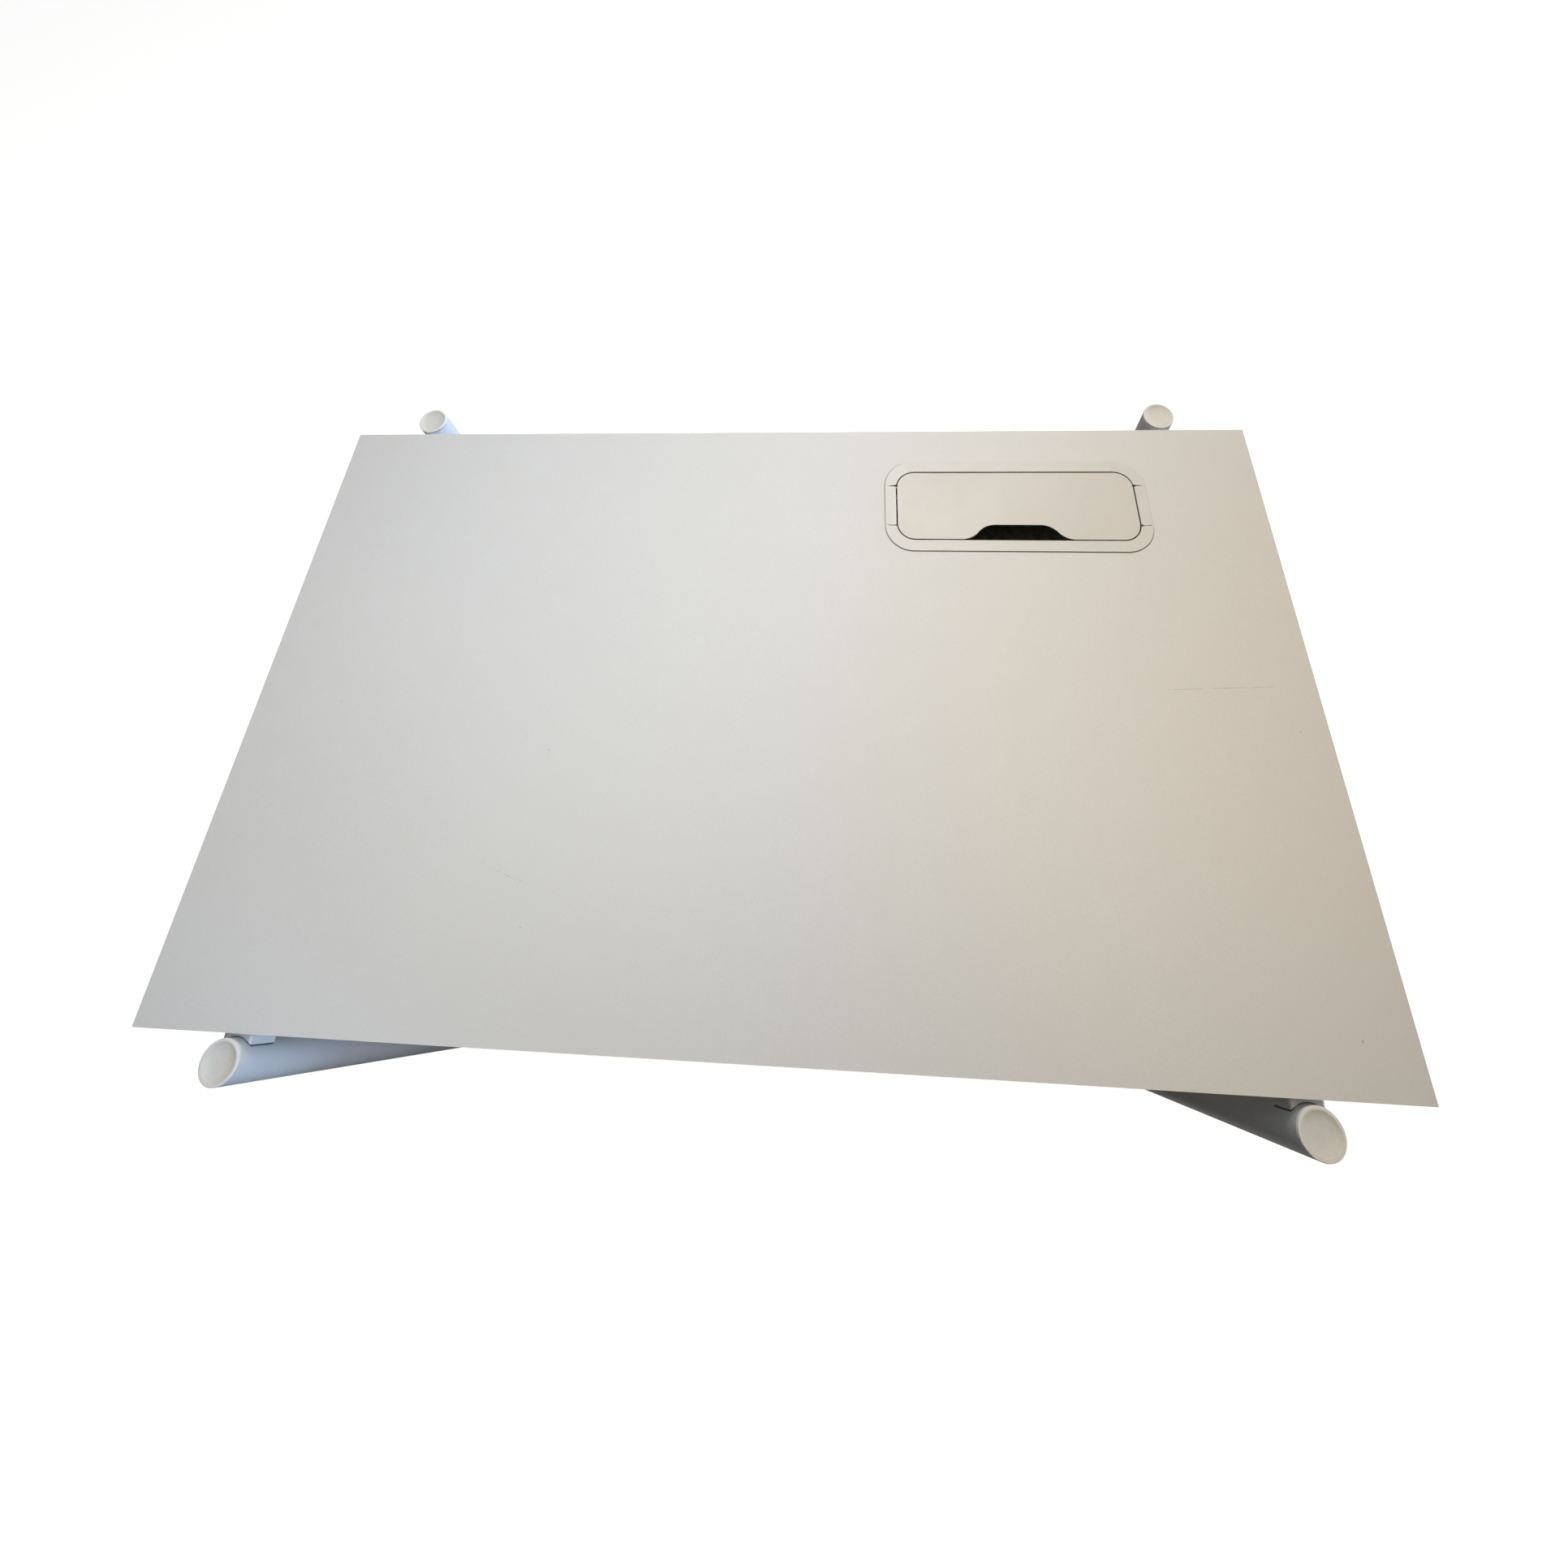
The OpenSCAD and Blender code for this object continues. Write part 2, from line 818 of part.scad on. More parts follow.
worktop_board();
edge_band_long(-1);  // edge_band_front
edge_band_long(1);  // edge_band_rear
edge_band_side(-1);  // edge_band_left
edge_band_side(1);  // edge_band_right
outlet_frame();
outlet_lid();
outlet_hinge_pins();
outlet_lid_buffers();
outlet_clamps();
outlet_clamp_screws();
cable_tray();
cable_tray_screws();
leg_tube(-1, -1);  // leg_tube_front_left
leg_tube(1, -1);  // leg_tube_front_right
leg_tube(-1, 1);  // leg_tube_rear_left
leg_tube(1, 1);  // leg_tube_rear_right
leg_cap(-1, -1);  // leg_cap_front_left
leg_cap(1, -1);  // leg_cap_front_right
leg_cap(-1, 1);  // leg_cap_rear_left
leg_cap(1, 1);  // leg_cap_rear_right
foot_insert(-1, -1);  // foot_insert_front_left
foot_insert(1, -1);  // foot_insert_front_right
foot_insert(-1, 1);  // foot_insert_rear_left
foot_insert(1, 1);  // foot_insert_rear_right
levelling_foot(-1, -1);  // levelling_foot_front_left
levelling_foot(1, -1);  // levelling_foot_front_right
levelling_foot(-1, 1);  // levelling_foot_rear_left
levelling_foot(1, 1);  // levelling_foot_rear_right
side_rail(-1);  // side_rail_left
side_rail(1);  // side_rail_right
rail_plug(-1, -1);  // rail_plug_front_left
rail_plug(1, -1);  // rail_plug_front_right
rail_plug(-1, 1);  // rail_plug_rear_left
rail_plug(1, 1);  // rail_plug_rear_right
leg_nut_strips();
rail_plug_screws();
rail_lock_screws();
beam(-1);  // beam_front
beam(1);  // beam_rear
beam_plate(-1, -1);  // beam_plate_front_left
beam_plate(1, -1);  // beam_plate_front_right
beam_plate(-1, 1);  // beam_plate_rear_left
beam_plate(1, 1);  // beam_plate_rear_right
beam_bolts(-1);  // beam_bolts_left
beam_bolts(1);  // beam_bolts_right
beam_washers();
beam_nuts();
worktop_pads();
worktop_screws(-1);  // worktop_screws_left
worktop_screws(1);  // worktop_screws_right
worktop_screws_beams();
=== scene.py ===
"""Office desk with round outboard legs and a flip-lid cable outlet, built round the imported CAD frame.

Metres, origin on the floor under the middle of the desk, +X right, +Y rear, +Z up.
"""
import math

import bmesh
import bpy
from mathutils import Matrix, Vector


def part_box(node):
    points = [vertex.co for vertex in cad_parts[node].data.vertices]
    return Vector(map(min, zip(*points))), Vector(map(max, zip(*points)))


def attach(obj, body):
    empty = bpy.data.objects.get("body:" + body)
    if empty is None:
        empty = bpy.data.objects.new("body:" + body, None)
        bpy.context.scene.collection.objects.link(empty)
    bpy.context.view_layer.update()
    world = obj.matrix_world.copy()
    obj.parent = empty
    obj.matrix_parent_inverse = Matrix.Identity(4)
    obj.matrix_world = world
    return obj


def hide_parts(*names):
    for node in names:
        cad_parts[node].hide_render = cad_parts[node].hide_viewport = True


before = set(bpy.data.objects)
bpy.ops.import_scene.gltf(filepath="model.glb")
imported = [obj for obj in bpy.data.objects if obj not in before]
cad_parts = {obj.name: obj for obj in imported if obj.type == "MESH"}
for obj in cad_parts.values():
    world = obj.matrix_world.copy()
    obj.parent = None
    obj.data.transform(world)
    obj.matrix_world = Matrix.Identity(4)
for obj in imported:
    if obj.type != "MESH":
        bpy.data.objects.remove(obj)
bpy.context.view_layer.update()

MM = 0.001
TURN = 2 * math.pi
CORNERS = ["front_left", "front_right", "rear_left", "rear_right"]
CORNER_STEPS = 20
OUTLET_CENTRE = (0.3515, 0.270)
OUTLET_HALF = (0.189, 0.073)
OUTLET_CORNER = 41 * MM
WALL = 2 * MM


# ---------------------------------------------------------------- outlines

def fillet(corners, closed=True, steps=5):
    """The outline through (u, v, radius) corners, with each corner rounded to its radius."""
    outline = []
    last = len(corners) - 1
    for i, (u, v, radius) in enumerate(corners):
        point = Vector((u, v))
        if radius == 0 or (not closed and i in (0, last)):
            outline.append(point)
            continue
        back = (Vector(corners[i - 1][:2]) - point).normalized()
        ahead = (Vector(corners[(i + 1) % len(corners)][:2]) - point).normalized()
        half = back.angle(ahead) / 2
        centre = point + (back + ahead).normalized() * (radius / math.sin(half))
        first = point + back * (radius / math.tan(half)) - centre
        final = point + ahead * (radius / math.tan(half)) - centre
        start = math.atan2(first.y, first.x)
        sweep = (math.atan2(final.y, final.x) - start + math.pi) % TURN - math.pi
        for k in range(steps + 1):
            a = start + sweep * k / steps
            outline.append(centre + Vector((math.cos(a), math.sin(a))) * radius)
    return outline


def arc(cx, cy, radius, start, end, steps):
    """Points on an arc between two angles in degrees."""
    angles = [math.radians(start + (end - start) * k / steps) for k in range(steps + 1)]
    return [Vector((cx + radius * math.cos(a), cy + radius * math.sin(a))) for a in angles]


def offset(outline, distance):
    """A closed counter-clockwise outline moved outwards by a distance."""
    moved = []
    for i, point in enumerate(outline):
        before = (point - outline[i - 1]).normalized()
        after = (outline[(i + 1) % len(outline)] - point).normalized()
        n0 = Vector((before.y, -before.x))
        n1 = Vector((after.y, -after.x))
        middle = (n0 + n1).normalized()
        moved.append(point + middle * (distance / max(middle.dot(n0), 0.5)))
    return moved


def stepped_rect(cx, cy, w, d, r, step=0.0, side_ends=None):
    """A round-cornered rectangle, counter-clockwise.

    Its rear edge, and its sides between the two places in side_ends, stand out by a step.
    """
    hx, hy = w / 2 - r, d / 2 - r
    jog = 0.3 * MM
    low, high = side_ends or (-hy + 1 * MM, hy - 1 * MM)
    side = [(0, low), (step, low + jog), (step, high - jog), (0, high)]
    right = [Vector((w / 2 + out, y)) for out, y in side]
    left = [Vector((-w / 2 - out, y)) for out, y in side[::-1]]
    rear = [(hx - jog, 0), (hx - 2 * jog, step), (2 * jog - hx, step), (jog - hx, 0)]
    back = [Vector((x, d / 2 + out)) for x, out in rear]
    outline = arc(hx, -hy, r, -90, 0, CORNER_STEPS) + right
    outline += arc(hx, hy, r, 0, 90, CORNER_STEPS) + back
    outline += arc(-hx, hy, r, 90, 180, CORNER_STEPS) + left
    outline += arc(-hx, -hy, r, 180, 270, CORNER_STEPS)
    return [p + Vector((cx, cy)) for p in outline]


def round_over(outline, z, radius, steps=5, up=True):
    """Rings that carry an outline round an edge: out on the outline below z, then inwards to z."""
    rings = []
    for k in range(steps + 1):
        a = math.pi / 2 * k / steps
        inset = radius * (1 - math.cos(a))
        rise = radius * (1 - math.sin(a))
        rings.append(at_height(offset(outline, -inset), z - rise if up else z + rise))
    return rings


def at_height(outline, z):
    return [(p.x, p.y, z) for p in outline]


# ---------------------------------------------------------------- meshes

class Shell:
    """Vertices and faces of one piece, built from closed lofts and lathes."""

    def __init__(self):
        self.verts = []
        self.faces = []

    def loft(self, rings, loop=False, caps=True):
        """Joins rings of points. A ring of one point is a pole. A loop joins the last ring to the first."""
        starts = []
        for ring in rings:
            starts.append(len(self.verts))
            self.verts += [tuple(p) for p in ring]
        pairs = list(zip(range(len(rings) - 1), range(1, len(rings))))
        if loop:
            pairs.append((len(rings) - 1, 0))
        for a, b in pairs:
            self.bridge(starts[a], len(rings[a]), starts[b], len(rings[b]))
        if caps and not loop:
            for i, order in ((0, -1), (-1, 1)):
                if len(rings[i]) > 1:
                    face = [starts[i] + k for k in range(len(rings[i]))]
                    self.faces.append(tuple(face[::order]))

    def bridge(self, a, na, b, nb):
        n = max(na, nb)
        for k in range(n):
            m = (k + 1) % n
            if na == 1:
                self.faces.append((a, b + m, b + k))
            elif nb == 1:
                self.faces.append((a + k, a + m, b))
            else:
                self.faces.append((a + k, a + m, b + m, b + k))

    def lathe(self, profile, loop=False, segments=96, axis="z", at=(0, 0, 0)):
        """Turns (radius, height) points round an axis through at."""
        rings = []
        for r, h in profile:
            count = segments if r > 1e-7 else 1
            ring = []
            for k in range(count):
                a = TURN * k / count
                u, v = r * math.cos(a), r * math.sin(a)
                x, y, z = (u, v, h) if axis == "z" else (h, u, v)
                ring.append((at[0] + x, at[1] + y, at[2] + z))
            rings.append(ring)
        self.loft(rings, loop=loop, caps=False)

    def block(self, lo, hi, radius, edge):
        """A block with round upright corners and softened upper and lower edges."""
        w, d = hi[0] - lo[0], hi[1] - lo[1]
        corners = [(sx * w / 2, sy * d / 2, radius) for sx, sy in ((-1, -1), (1, -1), (1, 1), (-1, 1))]
        centre = Vector(((lo[0] + hi[0]) / 2, (lo[1] + hi[1]) / 2))
        outline = [p + centre for p in fillet(corners, steps=4)]
        low = round_over(outline, lo[2], edge, steps=3, up=False)
        self.loft(low[::-1] + round_over(outline, hi[2], edge, steps=3))

    def sheet(self, section, x0, x1):
        """A section in Y and Z, run along X."""
        self.loft([[(x, p.x, p.y) for p in section] for x in (x0, x1)])

    def piece(self, name, material, body, slot, replaced=(), place=(0, 0, 0), sharp=32):
        """Makes the mesh object, shades it, hangs it on its body and hides the CAD nodes it replaces. The
        slot is not used.
        """
        mesh = bpy.data.meshes.new(name)
        mesh.from_pydata(self.verts, [], self.faces)
        clean = bmesh.new()
        clean.from_mesh(mesh)
        bmesh.ops.recalc_face_normals(clean, faces=clean.faces)
        clean.to_mesh(mesh)
        clean.free()
        mesh.shade_smooth()
        mesh.set_sharp_from_angle(angle=math.radians(sharp))
        mesh.materials.append(material)
        piece = bpy.data.objects.new(name, mesh)
        piece.location = place
        bpy.context.scene.collection.objects.link(piece)
        weighted = piece.modifiers.new("weighted_normals", "WEIGHTED_NORMAL")
        weighted.keep_sharp = True
        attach(piece, body)
        if replaced:
            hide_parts(*replaced)


# ---------------------------------------------------------------- materials

class Material:
    """A node material with a principled shader and helpers for procedural detail."""

    def __init__(self, name, **constants):
        self.material = bpy.data.materials.new(name)
        self.material.use_nodes = True
        self.tree = self.material.node_tree
        self.shader = self.tree.nodes["Principled BSDF"]
        for socket, value in constants.items():
            self.shader.inputs[socket.replace("_", " ")].default_value = value
        self.co = self.tree.nodes.new("ShaderNodeTexCoord").outputs["Object"]
        self.height = None

    def node(self, kind, settings=None, **inputs):
        made = self.tree.nodes.new("ShaderNode" + kind)
        for key, value in (settings or {}).items():
            setattr(made, key, value)
        for key, value in inputs.items():
            self.feed(made.inputs[key], value)
        return made

    def feed(self, socket, value):
        if isinstance(value, bpy.types.NodeSocket):
            self.tree.links.new(value, socket)
        else:
            socket.default_value = value

    def math(self, operation, a, b=0.0):
        made = self.node("Math", {"operation": operation})
        self.feed(made.inputs[0], a)
        self.feed(made.inputs[1], b)
        return made.outputs[0]

    def noise(self, scale, detail=3.0, roughness=0.55, vector=None):
        place = vector or self.co
        made = self.node("TexNoise", Vector=place, Scale=scale, Detail=detail, Roughness=roughness)
        return made.outputs["Fac"]

    def cell_distance(self, scale):
        """Distance to the nearest of many scattered points, for flakes."""
        return self.node("TexVoronoi", Vector=self.co, Scale=scale).outputs["Distance"]

    def span(self, value, low, high, to_low=0.0, to_high=1.0):
        """Maps low..high of a value to to_low..to_high, smoothly and clamped."""
        made = self.node("MapRange", {"interpolation_type": "SMOOTHSTEP"}, Value=value)
        for key, number in (("From Min", low), ("From Max", high), ("To Min", to_low), ("To Max", to_high)):
            made.inputs[key].default_value = number
        return made.outputs["Result"]

    def mix(self, factor, a, b, blend="MIX"):
        made = self.node("Mix", {"data_type": "RGBA", "blend_type": blend})
        self.feed(made.inputs["Factor"], factor)
        sockets = [s for s in made.inputs if s.type == "RGBA"]
        self.feed(sockets[0], a)
        self.feed(sockets[1], b)
        return [s for s in made.outputs if s.type == "RGBA"][0]

    def stretched(self, x, y, z):
        """Object coordinates scaled along each axis, for grain that runs one way."""
        return self.node("Mapping", Vector=self.co, Scale=(x, y, z)).outputs[0]

    def line(self, a, b, width):
        """1 on a straight mark from a to b on the XY plane, 0 off it."""
        run = Vector(b) - Vector(a)
        length = max(run.length, width)
        turned = self.node("Mapping", {"vector_type": "TEXTURE"}, Vector=self.co)
        turned.inputs["Location"].default_value = (a[0], a[1], 0)
        turned.inputs["Rotation"].default_value = (0, 0, math.atan2(run.y, run.x))
        parts = self.node("SeparateXYZ", Vector=turned.outputs[0]).outputs
        along = self.math("ABSOLUTE", self.math("SUBTRACT", parts[0], length / 2))
        inside = self.span(along, length / 2, length / 2 + width, 1.0, 0.0)
        across = self.span(self.math("ABSOLUTE", parts[1]), width / 2, width, 1.0, 0.0)
        return self.math("MULTIPLY", inside, across)

    def between(self, axis, low, high, soft, outside=False):
        """1 where a coordinate lies between two places, or outside them, 0 elsewhere."""
        place = self.node("SeparateXYZ", Vector=self.co).outputs[axis]
        above = self.span(place, low - soft, low)
        below = self.span(place, high, high + soft, 1.0, 0.0)
        inside = self.math("MULTIPLY", above, below)
        return self.math("SUBTRACT", 1.0, inside) if outside else inside

    def beside_rounded_rect(self, centre, half, radius, width):
        """1 on a narrow band just outside a round-cornered rectangle on the XY plane."""
        parts = self.node("SeparateXYZ", Vector=self.co).outputs
        reach = []
        for axis in (0, 1):
            away = self.math("ABSOLUTE", self.math("SUBTRACT", parts[axis], centre[axis]))
            reach.append(self.math("SUBTRACT", away, half[axis] - radius))
        corner = [self.math("POWER", self.math("MAXIMUM", r, 0.0), 2.0) for r in reach]
        outer = self.math("SQRT", self.math("ADD", *corner))
        inner = self.math("MINIMUM", self.math("MAXIMUM", *reach), 0.0)
        distance = self.math("SUBTRACT", self.math("ADD", outer, inner), radius)
        starts = self.span(distance, -0.4 * MM, 0.0)
        ends = self.span(distance, width * 0.5, width, 1.0, 0.0)
        return self.math("MULTIPLY", starts, ends)

    def facing_up(self):
        """Height of the surface normal in the piece's own space, from -1 to 1."""
        normal = self.tree.nodes["Texture Coordinate"].outputs["Normal"]
        return self.node("SeparateXYZ", Vector=normal).outputs[2]

    def bump(self, height, distance, strength=1.0):
        made = self.node("Bump", Height=height, Distance=distance, Strength=strength)
        if self.height is not None:
            self.feed(made.inputs["Normal"], self.height)
        self.height = made.outputs["Normal"]
        self.feed(self.shader.inputs["Normal"], self.height)

    def finish(self, colour, roughness):
        self.feed(self.shader.inputs["Base Color"], colour)
        self.feed(self.shader.inputs["Roughness"], roughness)
        return self.material


def rgb(r, g, b):
    return (r, g, b, 1.0)


def laminate():
    """Light grey melamine facing: pearl grain, faint mottling, scratches, specks, and a painted shadow line
    round the outlet plate, darker to its left and front.
    """
    m = Material("laminate_pearl_grey", Specular_IOR_Level=0.42, Sheen_Weight=0.04)
    grain = m.noise(820, 4.0, 0.62)
    flakes = m.cell_distance(1500)
    cloud = m.noise(26, 5.0, 0.6)
    broad = m.noise(2.6, 2.0, 0.5)
    colour = m.mix(m.span(grain, 0.32, 0.70), rgb(0.682, 0.692, 0.698), rgb(0.744, 0.753, 0.759))
    colour = m.mix(m.span(cloud, 0.35, 0.68, 0.0, 0.55), colour, rgb(0.700, 0.706, 0.706))
    colour = m.mix(m.span(broad, 0.35, 0.65, 0.0, 0.35), colour, rgb(0.734, 0.738, 0.736))
    colour = m.mix(m.span(flakes, 0.05, 0.22, 0.16, 0.0), colour, rgb(0.84, 0.84, 0.83))
    scratch = m.line((0.518, 0.007), (0.647, 0.013), 0.7 * MM)
    scratch = m.math("MULTIPLY", scratch, m.span(m.noise(90, 2.0), 0.38, 0.55))
    rub = m.line((-0.36, -0.21), (-0.29, -0.235), 0.6 * MM)
    rub = m.math("MULTIPLY", rub, m.span(m.noise(120, 2.0), 0.45, 0.6))
    marks = m.math("MAXIMUM", scratch, rub)
    specks = 0.0
    for x, y, size in SPECKS:
        specks = m.math("MAXIMUM", specks, m.line((x, y), (x + size, y), size))
    colour = m.mix(m.math("MULTIPLY", marks, 0.55), colour, rgb(0.50, 0.49, 0.47))
    colour = m.mix(m.math("MULTIPLY", specks, 0.6), colour, rgb(0.40, 0.38, 0.35))
    # Painted shadow: a dark line on the board just outside the outlet plate, stronger to the left and front,
    # where the raised plate would cast it.
    outlet_shadow_line = m.beside_rounded_rect(OUTLET_CENTRE, OUTLET_HALF, OUTLET_CORNER, 1.6 * MM)
    shaded = m.math("MAXIMUM", m.between(0, 0.10, 0.175, 0.03), m.between(1, 0.10, 0.215, 0.03))
    outlet_shadow_line = m.math("MULTIPLY", outlet_shadow_line, m.span(shaded, 0.0, 1.0, 0.14, 0.62))
    colour = m.mix(outlet_shadow_line, colour, rgb(0.10, 0.09, 0.075))
    m.bump(grain, 0.00009, 0.8)
    m.bump(m.math("MULTIPLY", marks, -1.0), 0.0002, 0.6)
    rough = m.span(broad, 0.3, 0.7, 0.44, 0.52)
    rough = m.math("ADD", rough, m.span(grain, 0.3, 0.7, -0.04, 0.05))
    return m.finish(colour, rough)


# Place and size of each dark speck on the worktop.
SPECKS = [
    (-0.579, -0.032, 0.0011),
    (-0.276, -0.087, 0.0009),
    (0.665, -0.041, 0.0012),
    (-0.280, -0.238, 0.0008),
    (-0.269, -0.285, 0.0009),
    (0.643, -0.350, 0.0013),
    (0.112, 0.236, 0.0008),
    (0.026, -0.186, 0.0007),
]


def moulded(name, base, dark, light, roughness, grain, depth, edge=0.5, ticks=()):
    """Satin moulded plastic: fine spark texture, slow colour drift, and paler convex edges that are a painted
    highlight and wear.

    Ticks are short dark marks along X, given by the place of their left end. A piece with ticks also has
    near-black painted shade on its upright faces between the gap's painted-shade heights, a little lighter
    along a stretch of the sides.
    """
    m = Material(name)
    fine = m.noise(grain, 3.0, 0.6)
    drift = m.noise(34, 4.0, 0.55)
    slow = m.noise(7, 2.0, 0.5)
    colour = m.mix(m.span(drift, 0.32, 0.70), rgb(*base), rgb(*dark))
    colour = m.mix(m.span(fine, 0.45, 0.75, 0.0, 0.25), colour, rgb(*light))
    # Paler convex edges: a painted highlight along the edges, and wear.
    edge_highlight_and_wear = m.span(m.node("NewGeometry").outputs["Pointiness"], 0.52, 0.60, 0.0, edge)
    colour = m.mix(edge_highlight_and_wear, colour, rgb(*light))
    if ticks:
        # Painted shade: near black on upright faces between two heights, in the outlet's gap and on the
        # plate's outer wall, a little lighter along a stretch of the sides.
        low, high = OUTLET_GAP_SHADE
        z = m.node("SeparateXYZ", Vector=m.co).outputs[2]
        above = m.span(z, low - 0.4 * MM, low)
        below = m.span(z, high - 0.3 * MM, high + 0.1 * MM, 1.0, 0.0)
        upright = m.span(m.math("ABSOLUTE", m.facing_up()), 0.80, 0.98, 1.0, 0.0)
        gap_shade = m.math("MULTIPLY", m.math("MULTIPLY", above, below), upright)
        gap_shade = m.math("MULTIPLY", gap_shade, m.span(drift, 0.2, 0.6, 0.93, 1.0))
        eased_stretch = m.between(0, *GAP_SHADE_EASED_X, 4 * MM, outside=True), m.between(1, *GAP_SHADE_EASED_Y, 1 * MM)
        gap_shade = m.math("MULTIPLY", gap_shade, m.span(m.math("MULTIPLY", *eased_stretch), 0.0, 1.0, 1.0, 0.62))
        colour = m.mix(gap_shade, colour, rgb(0.014, 0.012, 0.009))
    for x, y in ticks:
        tick = m.math("MULTIPLY", m.line((x, y), (x + 4 * MM, y), 1.3 * MM), 0.8)
        colour = m.mix(tick, colour, rgb(0.06, 0.055, 0.05))
    rough = m.span(slow, 0.3, 0.7, roughness - 0.03, roughness + 0.05)
    rough = m.math("ADD", rough, m.span(fine, 0.3, 0.7, -0.02, 0.04))
    m.bump(fine, depth, 0.7)
    return m.finish(colour, rough)


def cap_plastic():
    """Ivory caps: a faint dark ring round the foot of the rim that is painted shade and grime, blotches over
    the dish, and a paler rim that is a painted highlight.
    """
    m = Material("cap_plastic_ivory", Specular_IOR_Level=0.45, Subsurface_Weight=0.03)
    fine = m.noise(700, 3.0, 0.6)
    blotch = m.noise(120, 5.0, 0.65)
    slow = m.noise(38, 3.0, 0.6)
    x, y = m.node("SeparateXYZ", Vector=m.co).outputs[:2]
    radius = m.math("SQRT", m.math("ADD", m.math("MULTIPLY", x, x), m.math("MULTIPLY", y, y)))
    # A darker ring at the foot of the rim inside the dish: painted shade of the dish wall, and grime.
    rising = m.span(radius, 12.5 * MM, 17.8 * MM)
    falling = m.span(radius, 18.8 * MM, 20.2 * MM, 1.0, 0.0)
    rim_foot_shade_and_grime = m.math("MULTIPLY", m.math("MULTIPLY", rising, falling), m.span(slow, 0.36, 0.62, 0.05, 0.3))
    in_dish = m.span(radius, 17.0 * MM, 19.5 * MM, 1.0, 0.0)
    spots = m.math("MULTIPLY", in_dish, m.span(blotch, 0.50, 0.72, 0.0, 0.16))
    colour = m.mix(m.span(blotch, 0.3, 0.7), rgb(0.755, 0.748, 0.735), rgb(0.735, 0.726, 0.706))
    colour = m.mix(m.math("MAXIMUM", rim_foot_shade_and_grime, spots), colour, rgb(0.50, 0.46, 0.37))
    # Paler outer rim: a painted highlight.
    colour = m.mix(m.span(radius, 19.2 * MM, 20.2 * MM, 0.0, 0.75), colour, rgb(0.83, 0.82, 0.80))
    scuffs = m.noise(60, 2.0, 0.5, m.stretched(1.0, 9.0, 1.0))
    m.bump(fine, 0.00006, 0.7)
    m.bump(scuffs, 0.00008, 0.35)
    rough = m.math("ADD", m.span(slow, 0.3, 0.7, 0.36, 0.50), m.math("MULTIPLY", rim_foot_shade_and_grime, 0.15))
    return m.finish(colour, rough)


def coated(name, base, dark, roughness, grain, depth, dust=None, **constants):
    """Powder coat: orange peel, fine pigment grain, slight handling marks, and any dust on what faces up."""
    m = Material(name, **constants)
    peel = m.noise(grain, 2.0, 0.5)
    pigment = m.noise(2600, 2.0, 0.6)
    slow = m.noise(9, 4.0, 0.6)
    streaks = m.noise(30, 3.0, 0.6, m.stretched(1.0, 1.0, 0.12))
    colour = m.mix(m.span(slow, 0.3, 0.7), rgb(*base), rgb(*dark))
    colour = m.mix(m.span(pigment, 0.35, 0.7, 0.0, 0.35), colour, rgb(*dark))
    scuff = m.span(streaks, 0.60, 0.72, 0.0, 0.30)
    colour = m.mix(scuff, colour, rgb(*[c * 0.82 for c in base]))
    if dust:
        patches = m.span(m.noise(85, 5.0, 0.7), 0.30, 0.62, 0.35, 0.9)
        settled = m.math("MULTIPLY", m.span(m.facing_up(), 0.6, 0.95), patches)
        colour = m.mix(settled, colour, rgb(*dust))
    m.bump(peel, depth, 0.6)
    rough = m.span(slow, 0.3, 0.7, roughness - 0.04, roughness + 0.06)
    rough = m.math("ADD", rough, m.math("MULTIPLY", scuff, 0.3))
    return m.finish(colour, rough)


def zinc():
    """Zinc plated steel with a fine turned grain and cloudy passivation."""
    m = Material("zinc_steel", Metallic=1.0)
    turned = m.noise(260, 3.0, 0.6, m.stretched(1.0, 1.0, 9.0))
    cloud = m.noise(140, 4.0, 0.6)
    colour = m.mix(m.span(cloud, 0.3, 0.7), rgb(0.62, 0.62, 0.60), rgb(0.50, 0.51, 0.52))
    colour = m.mix(m.span(turned, 0.55, 0.75, 0.0, 0.4), colour, rgb(0.40, 0.40, 0.40))
    m.bump(turned, 0.00004, 0.5)
    return m.finish(colour, m.span(cloud, 0.3, 0.7, 0.26, 0.44))


